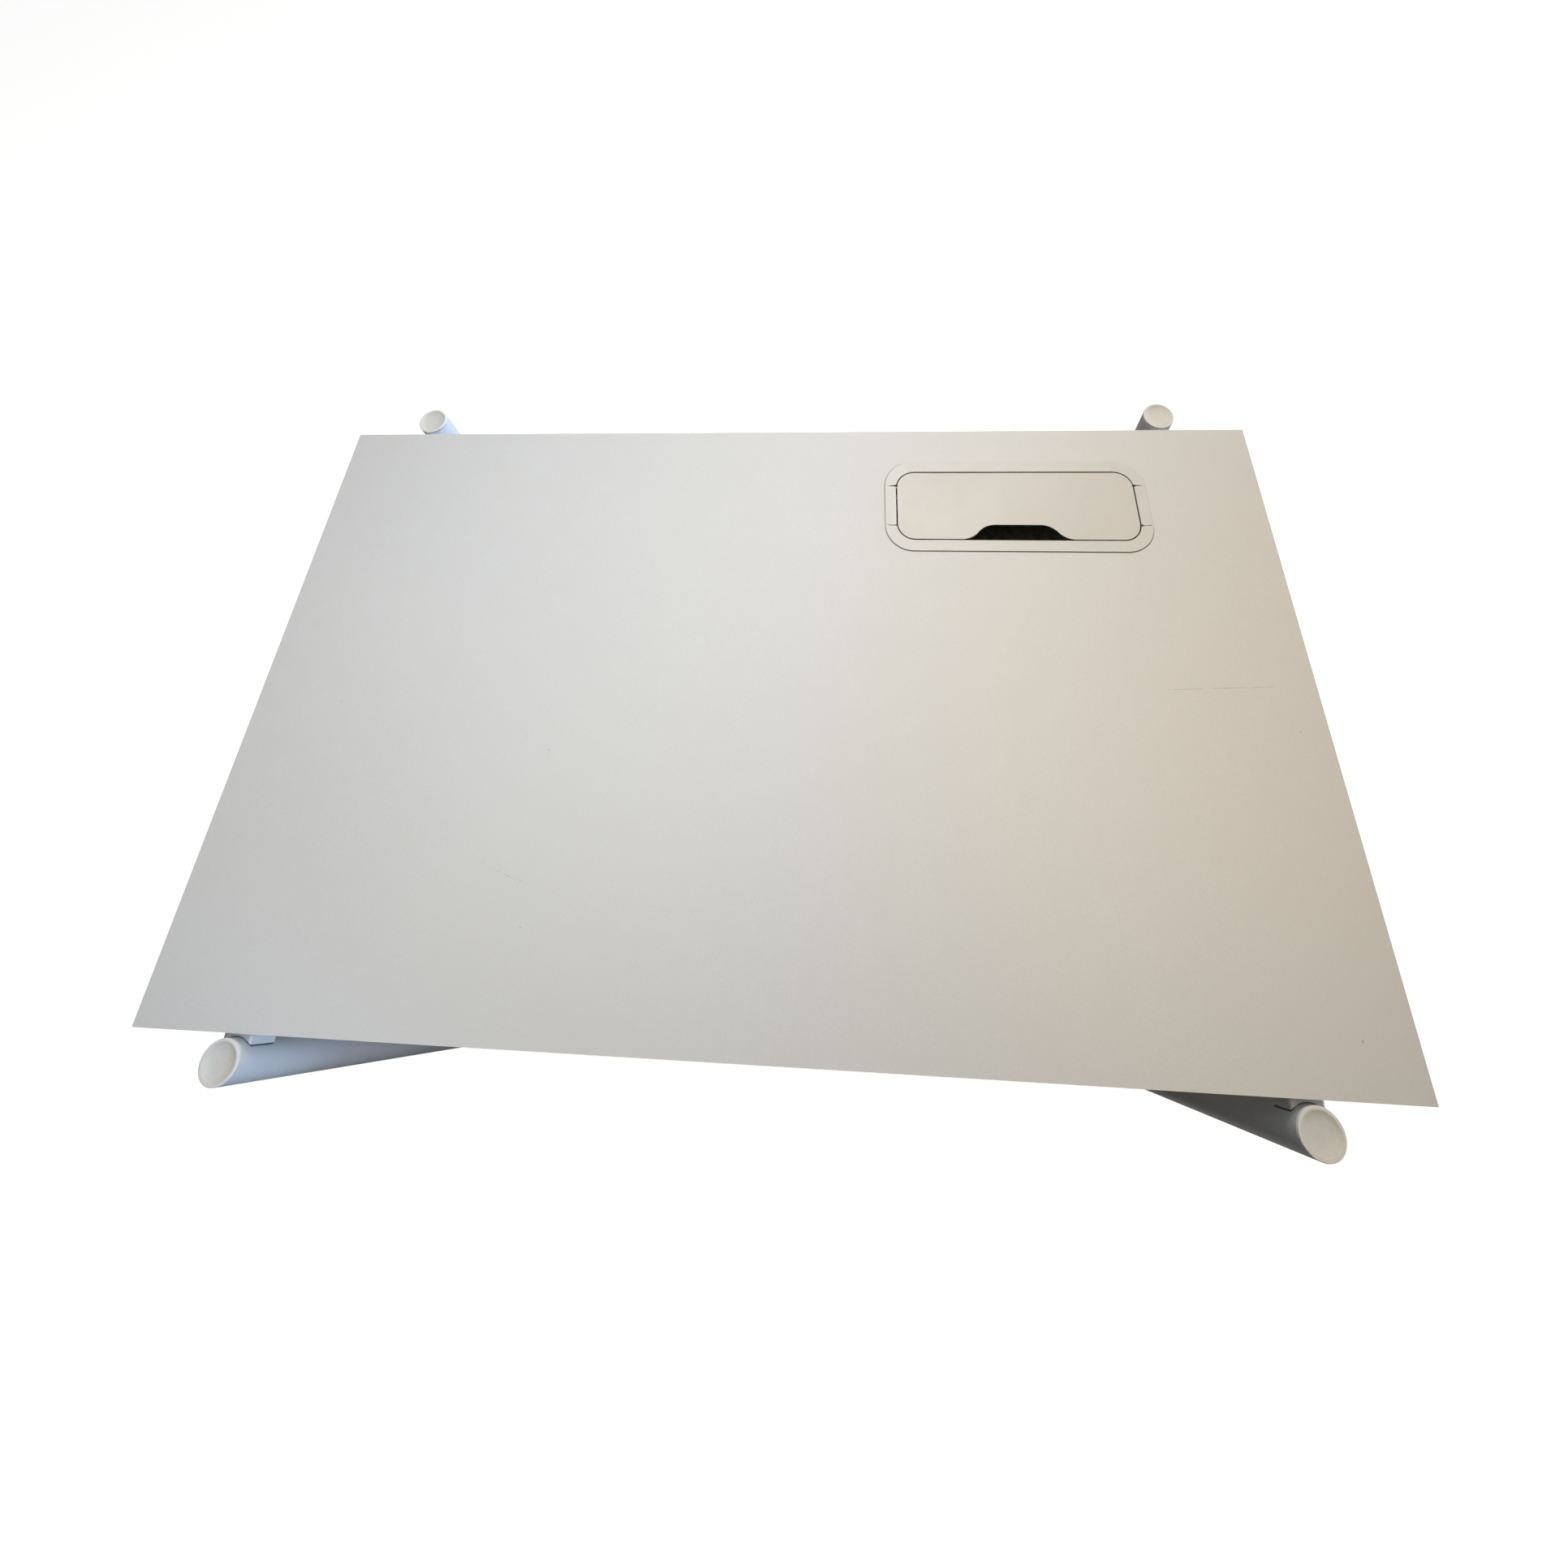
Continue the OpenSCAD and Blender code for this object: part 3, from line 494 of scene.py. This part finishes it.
# Heights of the painted shade in the gap, the stretch of the sides where it is lighter, and the marks at the
# gap's steps.
OUTLET_GAP_SHADE = (0.7190, 0.7213)
GAP_SHADE_EASED_X = (0.200, 0.503)
GAP_SHADE_EASED_Y = (0.2400, 0.3008)
PIN_TICKS = [(0.1772, 0.3018), (0.5216, 0.3018), (0.5228, 0.2390)]
MATERIALS = {
    "laminate": laminate(),
    "edging": moulded(
        "edging_grey", (0.700, 0.700, 0.682), (0.672, 0.670, 0.650), (0.76, 0.76, 0.745),
        roughness=0.42, grain=700, depth=0.08 * MM,
    ),
    "outlet_plastic": moulded(
        "outlet_plastic_plate", (0.680, 0.676, 0.668), (0.658, 0.662, 0.648), (0.82, 0.80, 0.77),
        roughness=0.40, grain=1100, depth=0.04 * MM, edge=0.7, ticks=PIN_TICKS,
    ),
    "outlet_lid": moulded(
        "outlet_plastic_lid", (0.654, 0.646, 0.630), (0.632, 0.630, 0.608), (0.80, 0.78, 0.75),
        roughness=0.40, grain=1100, depth=0.04 * MM, edge=0.7, ticks=PIN_TICKS,
    ),
    "white_steel": coated(
        "white_powder_coat", (0.70, 0.71, 0.72), (0.66, 0.67, 0.68),
        roughness=0.36, grain=620, depth=0.06 * MM, Coat_Weight=0.12,
    ),
    "cap_plastic": cap_plastic(),
    "foot_plastic": moulded(
        "foot_plastic_black", (0.022, 0.022, 0.023), (0.016, 0.016, 0.017), (0.06, 0.06, 0.062),
        roughness=0.46, grain=900, depth=0.08 * MM,
    ),
    "plug_metal": coated(
        "plug_casting", (0.130, 0.140, 0.160), (0.100, 0.108, 0.125),
        roughness=0.5, grain=420, depth=0.12 * MM, Metallic=0.4,
    ),
    "tray_steel": coated(
        "tray_black_coat", (0.030, 0.029, 0.028), (0.022, 0.021, 0.020),
        roughness=0.55, grain=520, depth=0.1 * MM, dust=(0.27, 0.245, 0.20),
    ),
    "fastener_steel": zinc(),
    "buffer_rubber": moulded(
        "buffer_rubber", (0.020, 0.020, 0.020), (0.015, 0.015, 0.015), (0.05, 0.05, 0.05),
        roughness=0.7, grain=1400, depth=0.06 * MM,
    ),
}


# ---------------------------------------------------------------- CAD nodes that stay

NODE_FINISH = {
    "worktop_board": "laminate",
    "edge_band": "edging",
    "outlet_hinge_pins": "fastener_steel",
    "outlet_lid_buffers": "buffer_rubber",
    "outlet_clamp": "fastener_steel",
    "cable_tray_screws": "fastener_steel",
    "rail_plug_screws": "fastener_steel",
    "rail_lock_screws": "fastener_steel",
    "rail_plug": "plug_metal",
    "leg_nut_strips": "fastener_steel",
    "beam_plate": "white_steel",
    "beam_bolts": "fastener_steel",
    "beam_washers": "fastener_steel",
    "beam_nuts": "fastener_steel",
    "worktop_pads": "buffer_rubber",
    "worktop_screws": "fastener_steel",
}
# Width in mm of the bevel on each CAD node's edges.
SOFTENED = {
    "edge_band": 0.35,
    "outlet_clamps": 0.3,
    "beam_plate": 0.5,
    "beam_bolts": 0.3,
    "beam_washers": 0.2,
    "beam_nuts": 0.3,
    "rail_plug_front": 0.15,
    "rail_plug_rear": 0.15,
    "worktop_screws": 0.25,
    "cable_tray_screws": 0.2,
}


def longest_match(table, name):
    """What a table says for the longest key that the name starts with."""
    found = [key for key in table if name.startswith(key)]
    return table[max(found, key=len)] if found else None


for node_name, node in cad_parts.items():
    finish = longest_match(NODE_FINISH, node_name)
    if finish is None:
        continue
    node.data.materials.clear()
    node.data.materials.append(MATERIALS[finish])
    width = longest_match(SOFTENED, node_name)
    if width is not None:
        bevel = node.modifiers.new("soft_edges", "BEVEL")
        bevel.width = width * MM
        bevel.segments = 2
        bevel.limit_method = "ANGLE"
        bevel.angle_limit = math.radians(40)
        bevel.harden_normals = True


# ---------------------------------------------------------------- legs, caps and feet

DISH_STEPS = 20
DISH_DEPTH = 2.6 * MM
DISH_CURVE = 3.4
INSERT_BORE = 5.05 * MM
HEX_LOW, HEX_HIGH = 7.4 * MM, 13 * MM
HEX_HALF = 8.5 * MM
HEX_SEGMENTS = 72
THREAD_PITCH = 1.5 * MM
THREAD_SEGMENTS = 24


def leg_axis(corner):
    """Where a leg's axis stands on the floor plan."""
    lo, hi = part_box("leg_tube_" + corner)
    return (lo.x + hi.x) / 2, (lo.y + hi.y) / 2


def hexagon_rings(low, high, half):
    """Rings of a nut with chamfered corners, from pole to pole. Half is half its width across flats."""
    rings = [[(0, 0, low)]]
    for z, limit in (
        (low, half * 0.985), (low + 0.5 * MM, half * 1.10), (low + 0.9 * MM, half * 1.16),
        (high - 0.9 * MM, half * 1.16), (high - 0.5 * MM, half * 1.10), (high, half * 0.985),
    ):
        ring = []
        for k in range(HEX_SEGMENTS):
            a = TURN * k / HEX_SEGMENTS
            side = (a + math.pi / 6) % (math.pi / 3) - math.pi / 6
            r = min(half / math.cos(side), limit)
            ring.append((r * math.cos(a), r * math.sin(a), z))
        rings.append(ring)
    return rings + [[(0, 0, high)]]


def thread_rings(start, low, high):
    """Rings of an M10 thread with a tapered tip, from pole to pole. It starts a little inside the nut."""
    rings = [[(0, 0, start)]]
    rows = int((high - low) / (THREAD_PITCH / 6))
    for row in range(rows + 1):
        z = start + (high - start) * row / rows
        ring = []
        for k in range(THREAD_SEGMENTS):
            a = TURN * k / THREAD_SEGMENTS
            phase = (z / THREAD_PITCH - k / THREAD_SEGMENTS) % 1.0
            crest = 1 - abs(2 * phase - 1)
            r = (4.25 + 0.72 * min(1.0, crest * 1.25)) * MM
            if row > rows - 5:
                r = min(r, (4.9 - 0.25 * (row - rows + 5)) * MM)
            ring.append((r * math.cos(a), r * math.sin(a), z))
        rings.append(ring)
    return rings + [[(0, 0, high)]]


for corner in CORNERS:
    axis_x, axis_y = leg_axis(corner)
    place = (axis_x, axis_y, 0)
    foot_body = "foot_" + corner
    tube_lo, tube_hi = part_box("leg_tube_" + corner)
    cap_lo, cap_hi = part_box("leg_cap_" + corner)
    insert_lo, insert_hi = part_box("foot_insert_" + corner)
    foot_lo, foot_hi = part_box("levelling_foot_" + corner)
    outer = (tube_hi.x - tube_lo.x) / 2
    inner = outer - WALL

    tube = Shell()
    tube.lathe(
        fillet([
            (inner, tube_lo.z, 0.3 * MM),
            (outer, tube_lo.z, 0.4 * MM),
            (outer, tube_hi.z - 0.7 * MM, 0.3 * MM),
            (outer - 0.7 * MM, tube_hi.z, 0.2 * MM),
            (inner, tube_hi.z, 0.2 * MM),
        ], steps=3),
        loop=True,
    )
    tube.piece(
        "leg_tube_shell_" + corner, MATERIALS["white_steel"], "desk", "white_steel",
        ["leg_tube_" + corner], place,
    )

    dish = outer - 3.4 * MM
    dish_floor = []
    for k in range(DISH_STEPS):
        part = k / DISH_STEPS
        dish_floor.append((dish * part, cap_hi.z - DISH_DEPTH * (1 - part ** DISH_CURVE) - 0.12 * MM))
    sleeve = inner - 0.1 * MM
    flange_low = cap_hi.z - 2.4 * MM
    floor_low = flange_low - 2 * MM
    rim = fillet([
        (dish * 0.985, cap_hi.z - 0.16 * MM, 0),
        (dish + 0.5 * MM, cap_hi.z, 0.5 * MM),
        (outer, cap_hi.z, 0.95 * MM),
        (outer, flange_low, 0.5 * MM),
        (outer - 1.3 * MM, flange_low, 0.2 * MM),
        (outer - 1.3 * MM, flange_low - 1.2 * MM, 0.1 * MM),
        (sleeve, flange_low - 1.2 * MM, 0.1 * MM),
        (sleeve, cap_lo.z, 0.3 * MM),
        (sleeve - 2 * MM, cap_lo.z, 0.3 * MM),
        (sleeve - 2 * MM, floor_low, 0.2 * MM),
        (0, floor_low, 0),
    ], closed=False)
    cap = Shell()
    cap.lathe(dish_floor + [(p.x, p.y) for p in rim], segments=128)
    cap.piece(
        "leg_cap_moulding_" + corner, MATERIALS["cap_plastic"], "desk", "cap_plastic",
        ["leg_cap_" + corner], place, sharp=40,
    )

    insert = Shell()
    flange_top = insert_lo.z + 3 * MM
    core = inner - 0.6 * MM
    profile = [
        (INSERT_BORE, insert_lo.z, 0.3 * MM),
        (outer - 0.2 * MM, insert_lo.z, 0.6 * MM),
        (outer - 0.2 * MM, flange_top, 0.3 * MM),
        (core, flange_top, 0),
    ]
    for rib in range(4):
        low = flange_top + (2 + 5.5 * rib) * MM
        profile += [
            (core, low, 0),
            (sleeve, low + 0.6 * MM, 0.2 * MM),
            (sleeve, low + 2.4 * MM, 0.2 * MM),
            (core, low + 3 * MM, 0),
        ]
    profile += [(core, insert_hi.z, 0.5 * MM), (INSERT_BORE, insert_hi.z, 0.3 * MM)]
    insert.lathe(fillet(profile, steps=3), loop=True, segments=72)
    insert.piece(
        "foot_insert_moulding_" + corner, MATERIALS["foot_plastic"], "desk", "foot_plastic",
        ["foot_insert_" + corner], place,
    )

    pad_r = (foot_hi.x - foot_lo.x) / 2
    pad = Shell()
    pad.lathe(
        fillet([
            (0, 0.6 * MM, 0),
            (pad_r - 3 * MM, 0.6 * MM, 0.3 * MM),
            (pad_r - 3.4 * MM, 0, 0.2 * MM),
            (pad_r, 0, 0.9 * MM),
            (pad_r, 4.2 * MM, 1.8 * MM),
            (pad_r - 5 * MM, 8 * MM, 0.8 * MM),
            (9.2 * MM, 8 * MM, 0.3 * MM),
            (9.0 * MM, 7.4 * MM, 0.2 * MM),
            (0, 7.4 * MM, 0),
        ], closed=False, steps=4),
        segments=80,
    )
    pad.piece(
        "foot_pad_" + corner, MATERIALS["foot_plastic"], foot_body, "foot_plastic",
        ["levelling_foot_" + corner], place,
    )

    stud = Shell()
    stud.loft(hexagon_rings(HEX_LOW, HEX_HIGH, HEX_HALF))
    stud.loft(thread_rings(HEX_HIGH - 0.2 * MM, HEX_HIGH, foot_hi.z))
    stud.piece("foot_stud_" + corner, MATERIALS["fastener_steel"], foot_body, "fastener_steel", place=place)


# ---------------------------------------------------------------- rails and beams

SADDLE_RADIUS = 23.5 * MM
END_EASED = 0.3 * MM


def tube_section(lo_u, hi_u, lo_v, hi_v, radius):
    """Outline of a rectangular tube in its own plane, counter-clockwise."""
    corners = [(lo_u, lo_v, radius), (hi_u, lo_v, radius), (hi_u, hi_v, radius), (lo_u, hi_v, radius)]
    return fillet(corners, steps=8)


def coped(section, axis, end, back=0):
    """A section in X and Z, carried in Y to the saddle cut round a leg, less a small step back.

    End is 1 where the rail runs on from the leg towards +Y and -1 where it ends there.
    """
    axis_x, axis_y = axis
    ring = []
    for p in section:
        reach = math.sqrt(SADDLE_RADIUS ** 2 - (p.x - axis_x) ** 2) + back
        ring.append((p.x, axis_y + end * reach, p.y))
    return ring


for side in ("left", "right"):
    lo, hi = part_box("side_rail_" + side)
    front, rear = leg_axis("front_" + side), leg_axis("rear_" + side)
    outer_section = tube_section(lo.x, hi.x, lo.z, hi.z, 3.5 * MM)
    inner_section = tube_section(lo.x + WALL, hi.x - WALL, lo.z + WALL, hi.z - WALL, 1.5 * MM)
    rail = Shell()
    rail.loft([
        coped(offset(outer_section, -END_EASED), front, 1),
        coped(outer_section, front, 1, END_EASED),
        coped(outer_section, rear, -1, END_EASED),
        coped(offset(outer_section, -END_EASED), rear, -1),
        coped(inner_section, rear, -1),
        coped(inner_section, front, 1),
    ], loop=True)
    rail.piece(
        "side_rail_tube_" + side, MATERIALS["white_steel"], "desk", "white_steel", ["side_rail_" + side]
    )

for side in ("front", "rear"):
    lo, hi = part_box("beam_" + side)
    outer_section = tube_section(lo.y, hi.y, lo.z, hi.z, 5 * MM)
    inner_section = tube_section(lo.y + WALL, hi.y - WALL, lo.z + WALL, hi.z - WALL, 3 * MM)
    beam = Shell()
    beam.loft([
        [(x, p.x, p.y) for p in section]
        for x, section in (
            (lo.x, outer_section),
            (hi.x, outer_section),
            (hi.x, inner_section),
            (lo.x, inner_section),
        )
    ], loop=True)
    beam.piece("beam_tube_" + side, MATERIALS["white_steel"], "desk", "white_steel", ["beam_" + side])


# ---------------------------------------------------------------- cable outlet

plate_lo, plate_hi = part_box("outlet_frame")
lid_lo, lid_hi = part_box("outlet_lid")
pin_lo, pin_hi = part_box("outlet_hinge_pins")
board_lo, board_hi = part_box("worktop_board")
out_x = (plate_lo.x + plate_hi.x) / 2
out_y = (plate_lo.y + plate_hi.y) / 2
lid_y = (lid_lo.y + lid_hi.y) / 2
lid_w, lid_d = lid_hi.x - lid_lo.x, lid_hi.y - lid_lo.y
plate_w, plate_d = plate_hi.x - plate_lo.x, plate_hi.y - plate_lo.y
lid_top, surface = plate_hi.z, board_hi.z
hinge_y, hinge_z = (pin_lo.y + pin_hi.y) / 2, (pin_lo.z + pin_hi.z) / 2
GAP = 1.6 * MM
GAP_STEP = 0.3 * MM
STEP_LENGTH = 62.8 * MM
THROAT_ROOM = 5 * MM
COLLAR_ROOM = 13 * MM
LIP = 0.3 * MM
LID_THICKNESS = 3 * MM

step_ends = (hinge_y - lid_y - STEP_LENGTH, hinge_y - lid_y)
plate_edge = stepped_rect(out_x, out_y, plate_w, plate_d, OUTLET_CORNER, 0.0, step_ends)
opening = stepped_rect(out_x, lid_y, lid_w + 2 * GAP, lid_d + 2 * GAP, 26.6 * MM, GAP_STEP, step_ends)
throat = stepped_rect(out_x, lid_y, lid_w + THROAT_ROOM, lid_d + THROAT_ROOM, 27.5 * MM)
collar = stepped_rect(out_x, lid_y, lid_w + COLLAR_ROOM, lid_d + COLLAR_ROOM, 31 * MM)
rings = [at_height(offset(plate_edge, -0.15 * MM), surface)]
rings += round_over(plate_edge, lid_top, 0.7 * MM, 6)
rings.append(at_height(offset(plate_edge, -2.5 * MM), lid_top))
rings.append(at_height(offset(opening, LIP + 1.2 * MM), lid_top))
for k in range(6):
    a = math.pi / 2 * k / 5
    rings.append(at_height(offset(opening, LIP * (1 - math.sin(a))), lid_top - LIP * (1 - math.cos(a))))
rings += [
    at_height(opening, surface - 1.0 * MM),
    at_height(throat, surface - 1.0 * MM),
    at_height(throat, plate_lo.z + 0.3 * MM),
    at_height(offset(throat, 0.3 * MM), plate_lo.z),
    at_height(offset(collar, -0.5 * MM), plate_lo.z),
    at_height(collar, plate_lo.z + 0.5 * MM),
    at_height(collar, surface),
]
plate = Shell()
plate.loft(rings, loop=True)
shelf_top = lid_top - LID_THICKNESS - 1.1 * MM
throat_front = lid_y - (lid_d + THROAT_ROOM) / 2
stop_y, stop_z = hinge_y - 7.7 * MM, hinge_z - 19 * MM
for sx in (-1, 1):
    ledge_x = out_x + sx * 110 * MM
    plate.block(
        (ledge_x - 12 * MM, throat_front - 1 * MM, shelf_top - 3 * MM),
        (ledge_x + 12 * MM, throat_front + 9 * MM, shelf_top), 1.5 * MM, 0.3 * MM,
    )
    stop_x = out_x + sx * ((lid_w + THROAT_ROOM) / 2 - 8.5 * MM)
    plate.block(
        (stop_x - 9.4 * MM, stop_y - 4.5 * MM, stop_z - 3.5 * MM),
        (stop_x + 9.4 * MM, stop_y + 4.5 * MM, stop_z + 3.5 * MM), 1.0 * MM, 0.3 * MM,
    )
plate.piece("outlet_plate", MATERIALS["outlet_plastic"], "desk", "outlet_plastic", ["outlet_frame"])


LID_CORNER = 25 * MM
NOTCH_BASE, NOTCH_FLAT, NOTCH_DEPTH = 80 * MM, 32 * MM, 22.8 * MM
RIB_HALF = 0.75 * MM
RIB_END = 25 * MM
BARREL_BORE, BARREL_RADIUS, BARREL_HALF = 1.55 * MM, 3.2 * MM, 4 * MM


def lid_outline():
    """The lid's outline with its finger notch, counter-clockwise."""
    half_w, half_d, r = lid_w / 2, lid_d / 2, LID_CORNER
    base, flat, deep = NOTCH_BASE, NOTCH_FLAT, NOTCH_DEPTH
    bend = ((base - flat) ** 2 + deep ** 2) / (4 * deep)
    swing = math.degrees(math.asin((base - flat) / 2 / bend))
    right = arc(base, -half_d + bend, bend, -90 - swing, -90, 14)
    right = arc(flat, -half_d + deep - bend, bend, 90, 90 - swing, 14) + right[1:]
    corners = []
    for sx, sy, start in ((1, -1, -90), (1, 1, 0), (-1, 1, 90), (-1, -1, 180)):
        corners += arc(sx * (half_w - r), sy * (half_d - r), r, start, start + 90, CORNER_STEPS)
    left = [Vector((-p.x, p.y)) for p in reversed(right)]
    return [p + Vector((out_x, lid_y)) for p in right + corners + left]


outline = lid_outline()
under = lid_top - LID_THICKNESS
lid = Shell()
lid.loft([
    at_height(offset(outline, -0.3 * MM), under),
    at_height(outline, under + 0.3 * MM),
] + round_over(outline, lid_top, 0.3 * MM, 6))
rib_low, rib_high = under - 2.6 * MM, under + 0.5 * MM
front_rib = lid_y - lid_d / 2 + 28.8 * MM
for y in (front_rib, hinge_y):
    lid.block(
        (out_x - lid_w / 2 + RIB_END, y - RIB_HALF, rib_low),
        (out_x + lid_w / 2 - RIB_END, y + RIB_HALF, rib_high), 0.5 * MM, 0.3 * MM,
    )
for x in (-120, -60, 0, 60, 120):
    rib_x = out_x + x * MM
    lid.block(
        (rib_x - RIB_HALF, front_rib, rib_low), (rib_x + RIB_HALF, hinge_y, rib_high), 0.3 * MM, 0.3 * MM
    )
for sx in (-1, 1):
    barrel_x = out_x + sx * (lid_w / 2 - 4 * MM)
    lid.lathe(
        fillet([
            (BARREL_BORE, -BARREL_HALF, 0.2 * MM),
            (BARREL_RADIUS, -BARREL_HALF, 0.4 * MM),
            (BARREL_RADIUS, BARREL_HALF, 0.4 * MM),
            (BARREL_BORE, BARREL_HALF, 0.2 * MM),
        ], steps=3),
        loop=True, segments=40, axis="x", at=(barrel_x, hinge_y, hinge_z),
    )
    for dy in (-1, 1):
        y0, y1 = sorted((hinge_y + dy * 2.0 * MM, hinge_y + dy * 3.2 * MM))
        lid.block(
            (barrel_x - 3.8 * MM, y0, hinge_z), (barrel_x + 3.8 * MM, y1, under + 0.5 * MM),
            0.3 * MM, 0.2 * MM,
        )
lid.piece("outlet_flap", MATERIALS["outlet_lid"], "lid", "outlet_plastic", ["outlet_lid"])


# ---------------------------------------------------------------- cable tray

tray_lo, tray_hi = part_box("cable_tray")
gauge = 1.5 * MM
flange = 17 * MM
wall_front = tray_lo.y + flange
wall_rear = tray_hi.y - flange
fold = 2.5 * MM
trough = fillet([
    (tray_lo.y, tray_hi.z, 0.3 * MM),
    (tray_lo.y, tray_hi.z - gauge, 0.3 * MM),
    (wall_front, tray_hi.z - gauge, fold),
    (wall_front, tray_lo.z, fold + gauge),
    (wall_rear, tray_lo.z, fold + gauge),
    (wall_rear, tray_hi.z - gauge, fold),
    (tray_hi.y, tray_hi.z - gauge, 0.3 * MM),
    (tray_hi.y, tray_hi.z, 0.3 * MM),
    (wall_rear - gauge, tray_hi.z, fold),
    (wall_rear - gauge, tray_lo.z + gauge, fold),
    (wall_front + gauge, tray_lo.z + gauge, fold),
    (wall_front + gauge, tray_hi.z, fold),
], steps=6)
tray = Shell()
tray.sheet(trough, tray_lo.x, tray_hi.x)
end_top = tray_lo.z + 50 * MM
for sx, x in ((1, tray_lo.x), (-1, tray_hi.x)):
    end_corners = [
        (wall_front + gauge, tray_lo.z + gauge * 0.5, 2 * MM),
        (wall_rear - gauge, tray_lo.z + gauge * 0.5, 2 * MM),
        (wall_rear - gauge, end_top, 6 * MM),
        (wall_front + gauge, end_top, 6 * MM),
    ]
    tray.sheet(fillet(end_corners, steps=6), x + sx * 0.05 * MM, x + sx * gauge)
tray.piece("cable_tray_folded", MATERIALS["tray_steel"], "desk", "tray_steel", ["cable_tray"])


# ---------------------------------------------------------------- camera, floor and light

camera_data = bpy.data.cameras.new("camera")
camera_data.sensor_width = 36
camera_data.lens = 19.3845
camera_data.shift_x = -0.00905
camera_data.shift_y = -0.22845
camera_data.clip_end = 60
camera = bpy.data.objects.new("camera", camera_data)
camera.location = (0.14607, -0.31748, 1.83657)
camera.rotation_euler = [math.radians(a) for a in (33.238, 4.474, 2.486)]
bpy.context.scene.collection.objects.link(camera)
bpy.context.scene.camera = camera


FLOOR_RADIUS = 11


def floor_material(name, shade, glow):
    """Matt pale floor that may give off a little light of its own."""
    m = Material(name, Specular_IOR_Level=0.2)
    grain = m.noise(140, 3.0)
    tone = m.noise(1.5, 2.0)
    darker = rgb(shade * 0.985, shade * 0.985, shade * 0.98)
    colour = m.mix(m.span(tone, 0.3, 0.7), rgb(shade, shade, shade), darker)
    m.shader.inputs["Emission Color"].default_value = rgb(1, 1, 1)
    m.shader.inputs["Emission Strength"].default_value = glow
    return m.finish(colour, m.span(grain, 0.3, 0.7, 0.75, 0.85))


def stage_piece(name, shell, material):
    """Makes one object of the studio, which is not part of the desk."""
    mesh = bpy.data.meshes.new(name)
    mesh.from_pydata(shell.verts, [], shell.faces)
    mesh.shade_smooth()
    mesh.materials.append(material)
    made = bpy.data.objects.new(name, mesh)
    bpy.context.scene.collection.objects.link(made)
    return made


# A pale floor that only the camera sees, and a grey one out of its sight that bounces the light.
cove = Shell()
cove.lathe(fillet([(0, 0, 0), (FLOOR_RADIUS, 0, 4), (FLOOR_RADIUS, 9, 0)], closed=False, steps=16))
seen_floor = stage_piece("studio_floor", cove, floor_material("studio_floor", 0.92, 0.91))
seen_floor.visible_diffuse = False
seen_floor.visible_glossy = False
seen_floor.visible_shadow = False
bounce = Shell()
bounce.lathe([(0, -2 * MM), (FLOOR_RADIUS, -2 * MM)])
bounce_floor = stage_piece("studio_floor_bounce", bounce, floor_material("studio_floor_bounce", 0.30, 0.0))
bounce_floor.visible_camera = False
bounce_floor.visible_shadow = False


def area_light(name, place, target, width, height, power, colour, spread=180):
    """A rectangular lamp aimed at a place. The spread is in degrees."""
    data = bpy.data.lights.new(name, "AREA")
    data.shape = "RECTANGLE"
    data.size = width
    data.size_y = height
    data.energy = power
    data.color = colour
    data.spread = math.radians(spread)
    light = bpy.data.objects.new(name, data)
    light.location = place
    light.rotation_euler = (Vector(target) - Vector(place)).to_track_quat("-Z", "Y").to_euler()
    light.visible_camera = False
    bpy.context.scene.collection.objects.link(light)


area_light("key_rear", (0.2, 1.5, 2.6), (0, 0, 0.7), 1.2, 1.2, 29.2, (1.0, 0.918, 0.80))
area_light("key_left", (-1.0, 1.4, 2.6), (0, 0, 0.7), 1.2, 1.2, 4.4, (0.76, 0.88, 1.0))
area_light("over_left", (-0.35, 0.3, 2.5), (-0.25, 0.10, 0.72), 0.9, 0.9, 2.05, (0.76, 0.88, 1.0), 70)
area_light("fill_front_left", (-0.9, -0.3, 2.3), (-0.45, -0.15, 0.72), 0.9, 0.9, 1.15, (1.0, 0.90, 0.78), 80)
area_light("over_front", (-0.2, -0.45, 2.4), (-0.15, -0.2, 0.72), 0.9, 0.9, 0.16, (1.0, 0.98, 0.95), 62)
area_light("warm_right", (0.75, -0.1, 2.2), (0.55, -0.15, 0.72), 0.5, 0.5, 0.44, (1.0, 0.74, 0.42), 60)
area_light("warm_middle", (0.6, 0.25, 2.2), (0.45, 0.05, 0.72), 0.6, 0.6, 0.20, (1.0, 0.72, 0.38), 60)
area_light("warm_rear", (1.3, 0.9, 1.7), (0.6, 0.2, 0.72), 0.6, 0.6, 2.85, (1.0, 0.80, 0.52))
area_light("cool_low", (2.4, 0.0, 0.62), (0, 0, 0.60), 2.4, 0.30, 0.8, (0.5, 0.7, 1.0), 24)
area_light("cool_rear", (1.6, 1.3, 0.75), (-0.58, 0.43, 0.62), 0.8, 0.3, 2.17, (0.51, 0.7, 1.0), 25)
area_light("cool_front", (1.9, -0.75, 0.8), (-0.58, -0.43, 0.62), 0.6, 0.4, 0.31, (0.77, 0.86, 1.0), 25)
area_light("cool_spot", (0.55, -0.95, 1.0), (-0.583, -0.42, 0.69), 0.2, 0.2, 0.07, (0.5, 0.7, 1.0), 14)
area_light("low_front", (1.8, -2.8, 0.45), (0.5, -0.43, 0.4), 0.8, 0.5, 1.6, (1.0, 0.97, 0.93), 50)

world = bpy.data.worlds.new("studio")
world.use_nodes = True
world.node_tree.nodes["Background"].inputs["Color"].default_value = rgb(0.97, 0.985, 1.0)
world.node_tree.nodes["Background"].inputs["Strength"].default_value = 0.05
bpy.context.scene.world = world
bpy.context.scene.view_settings.view_transform = "Standard"
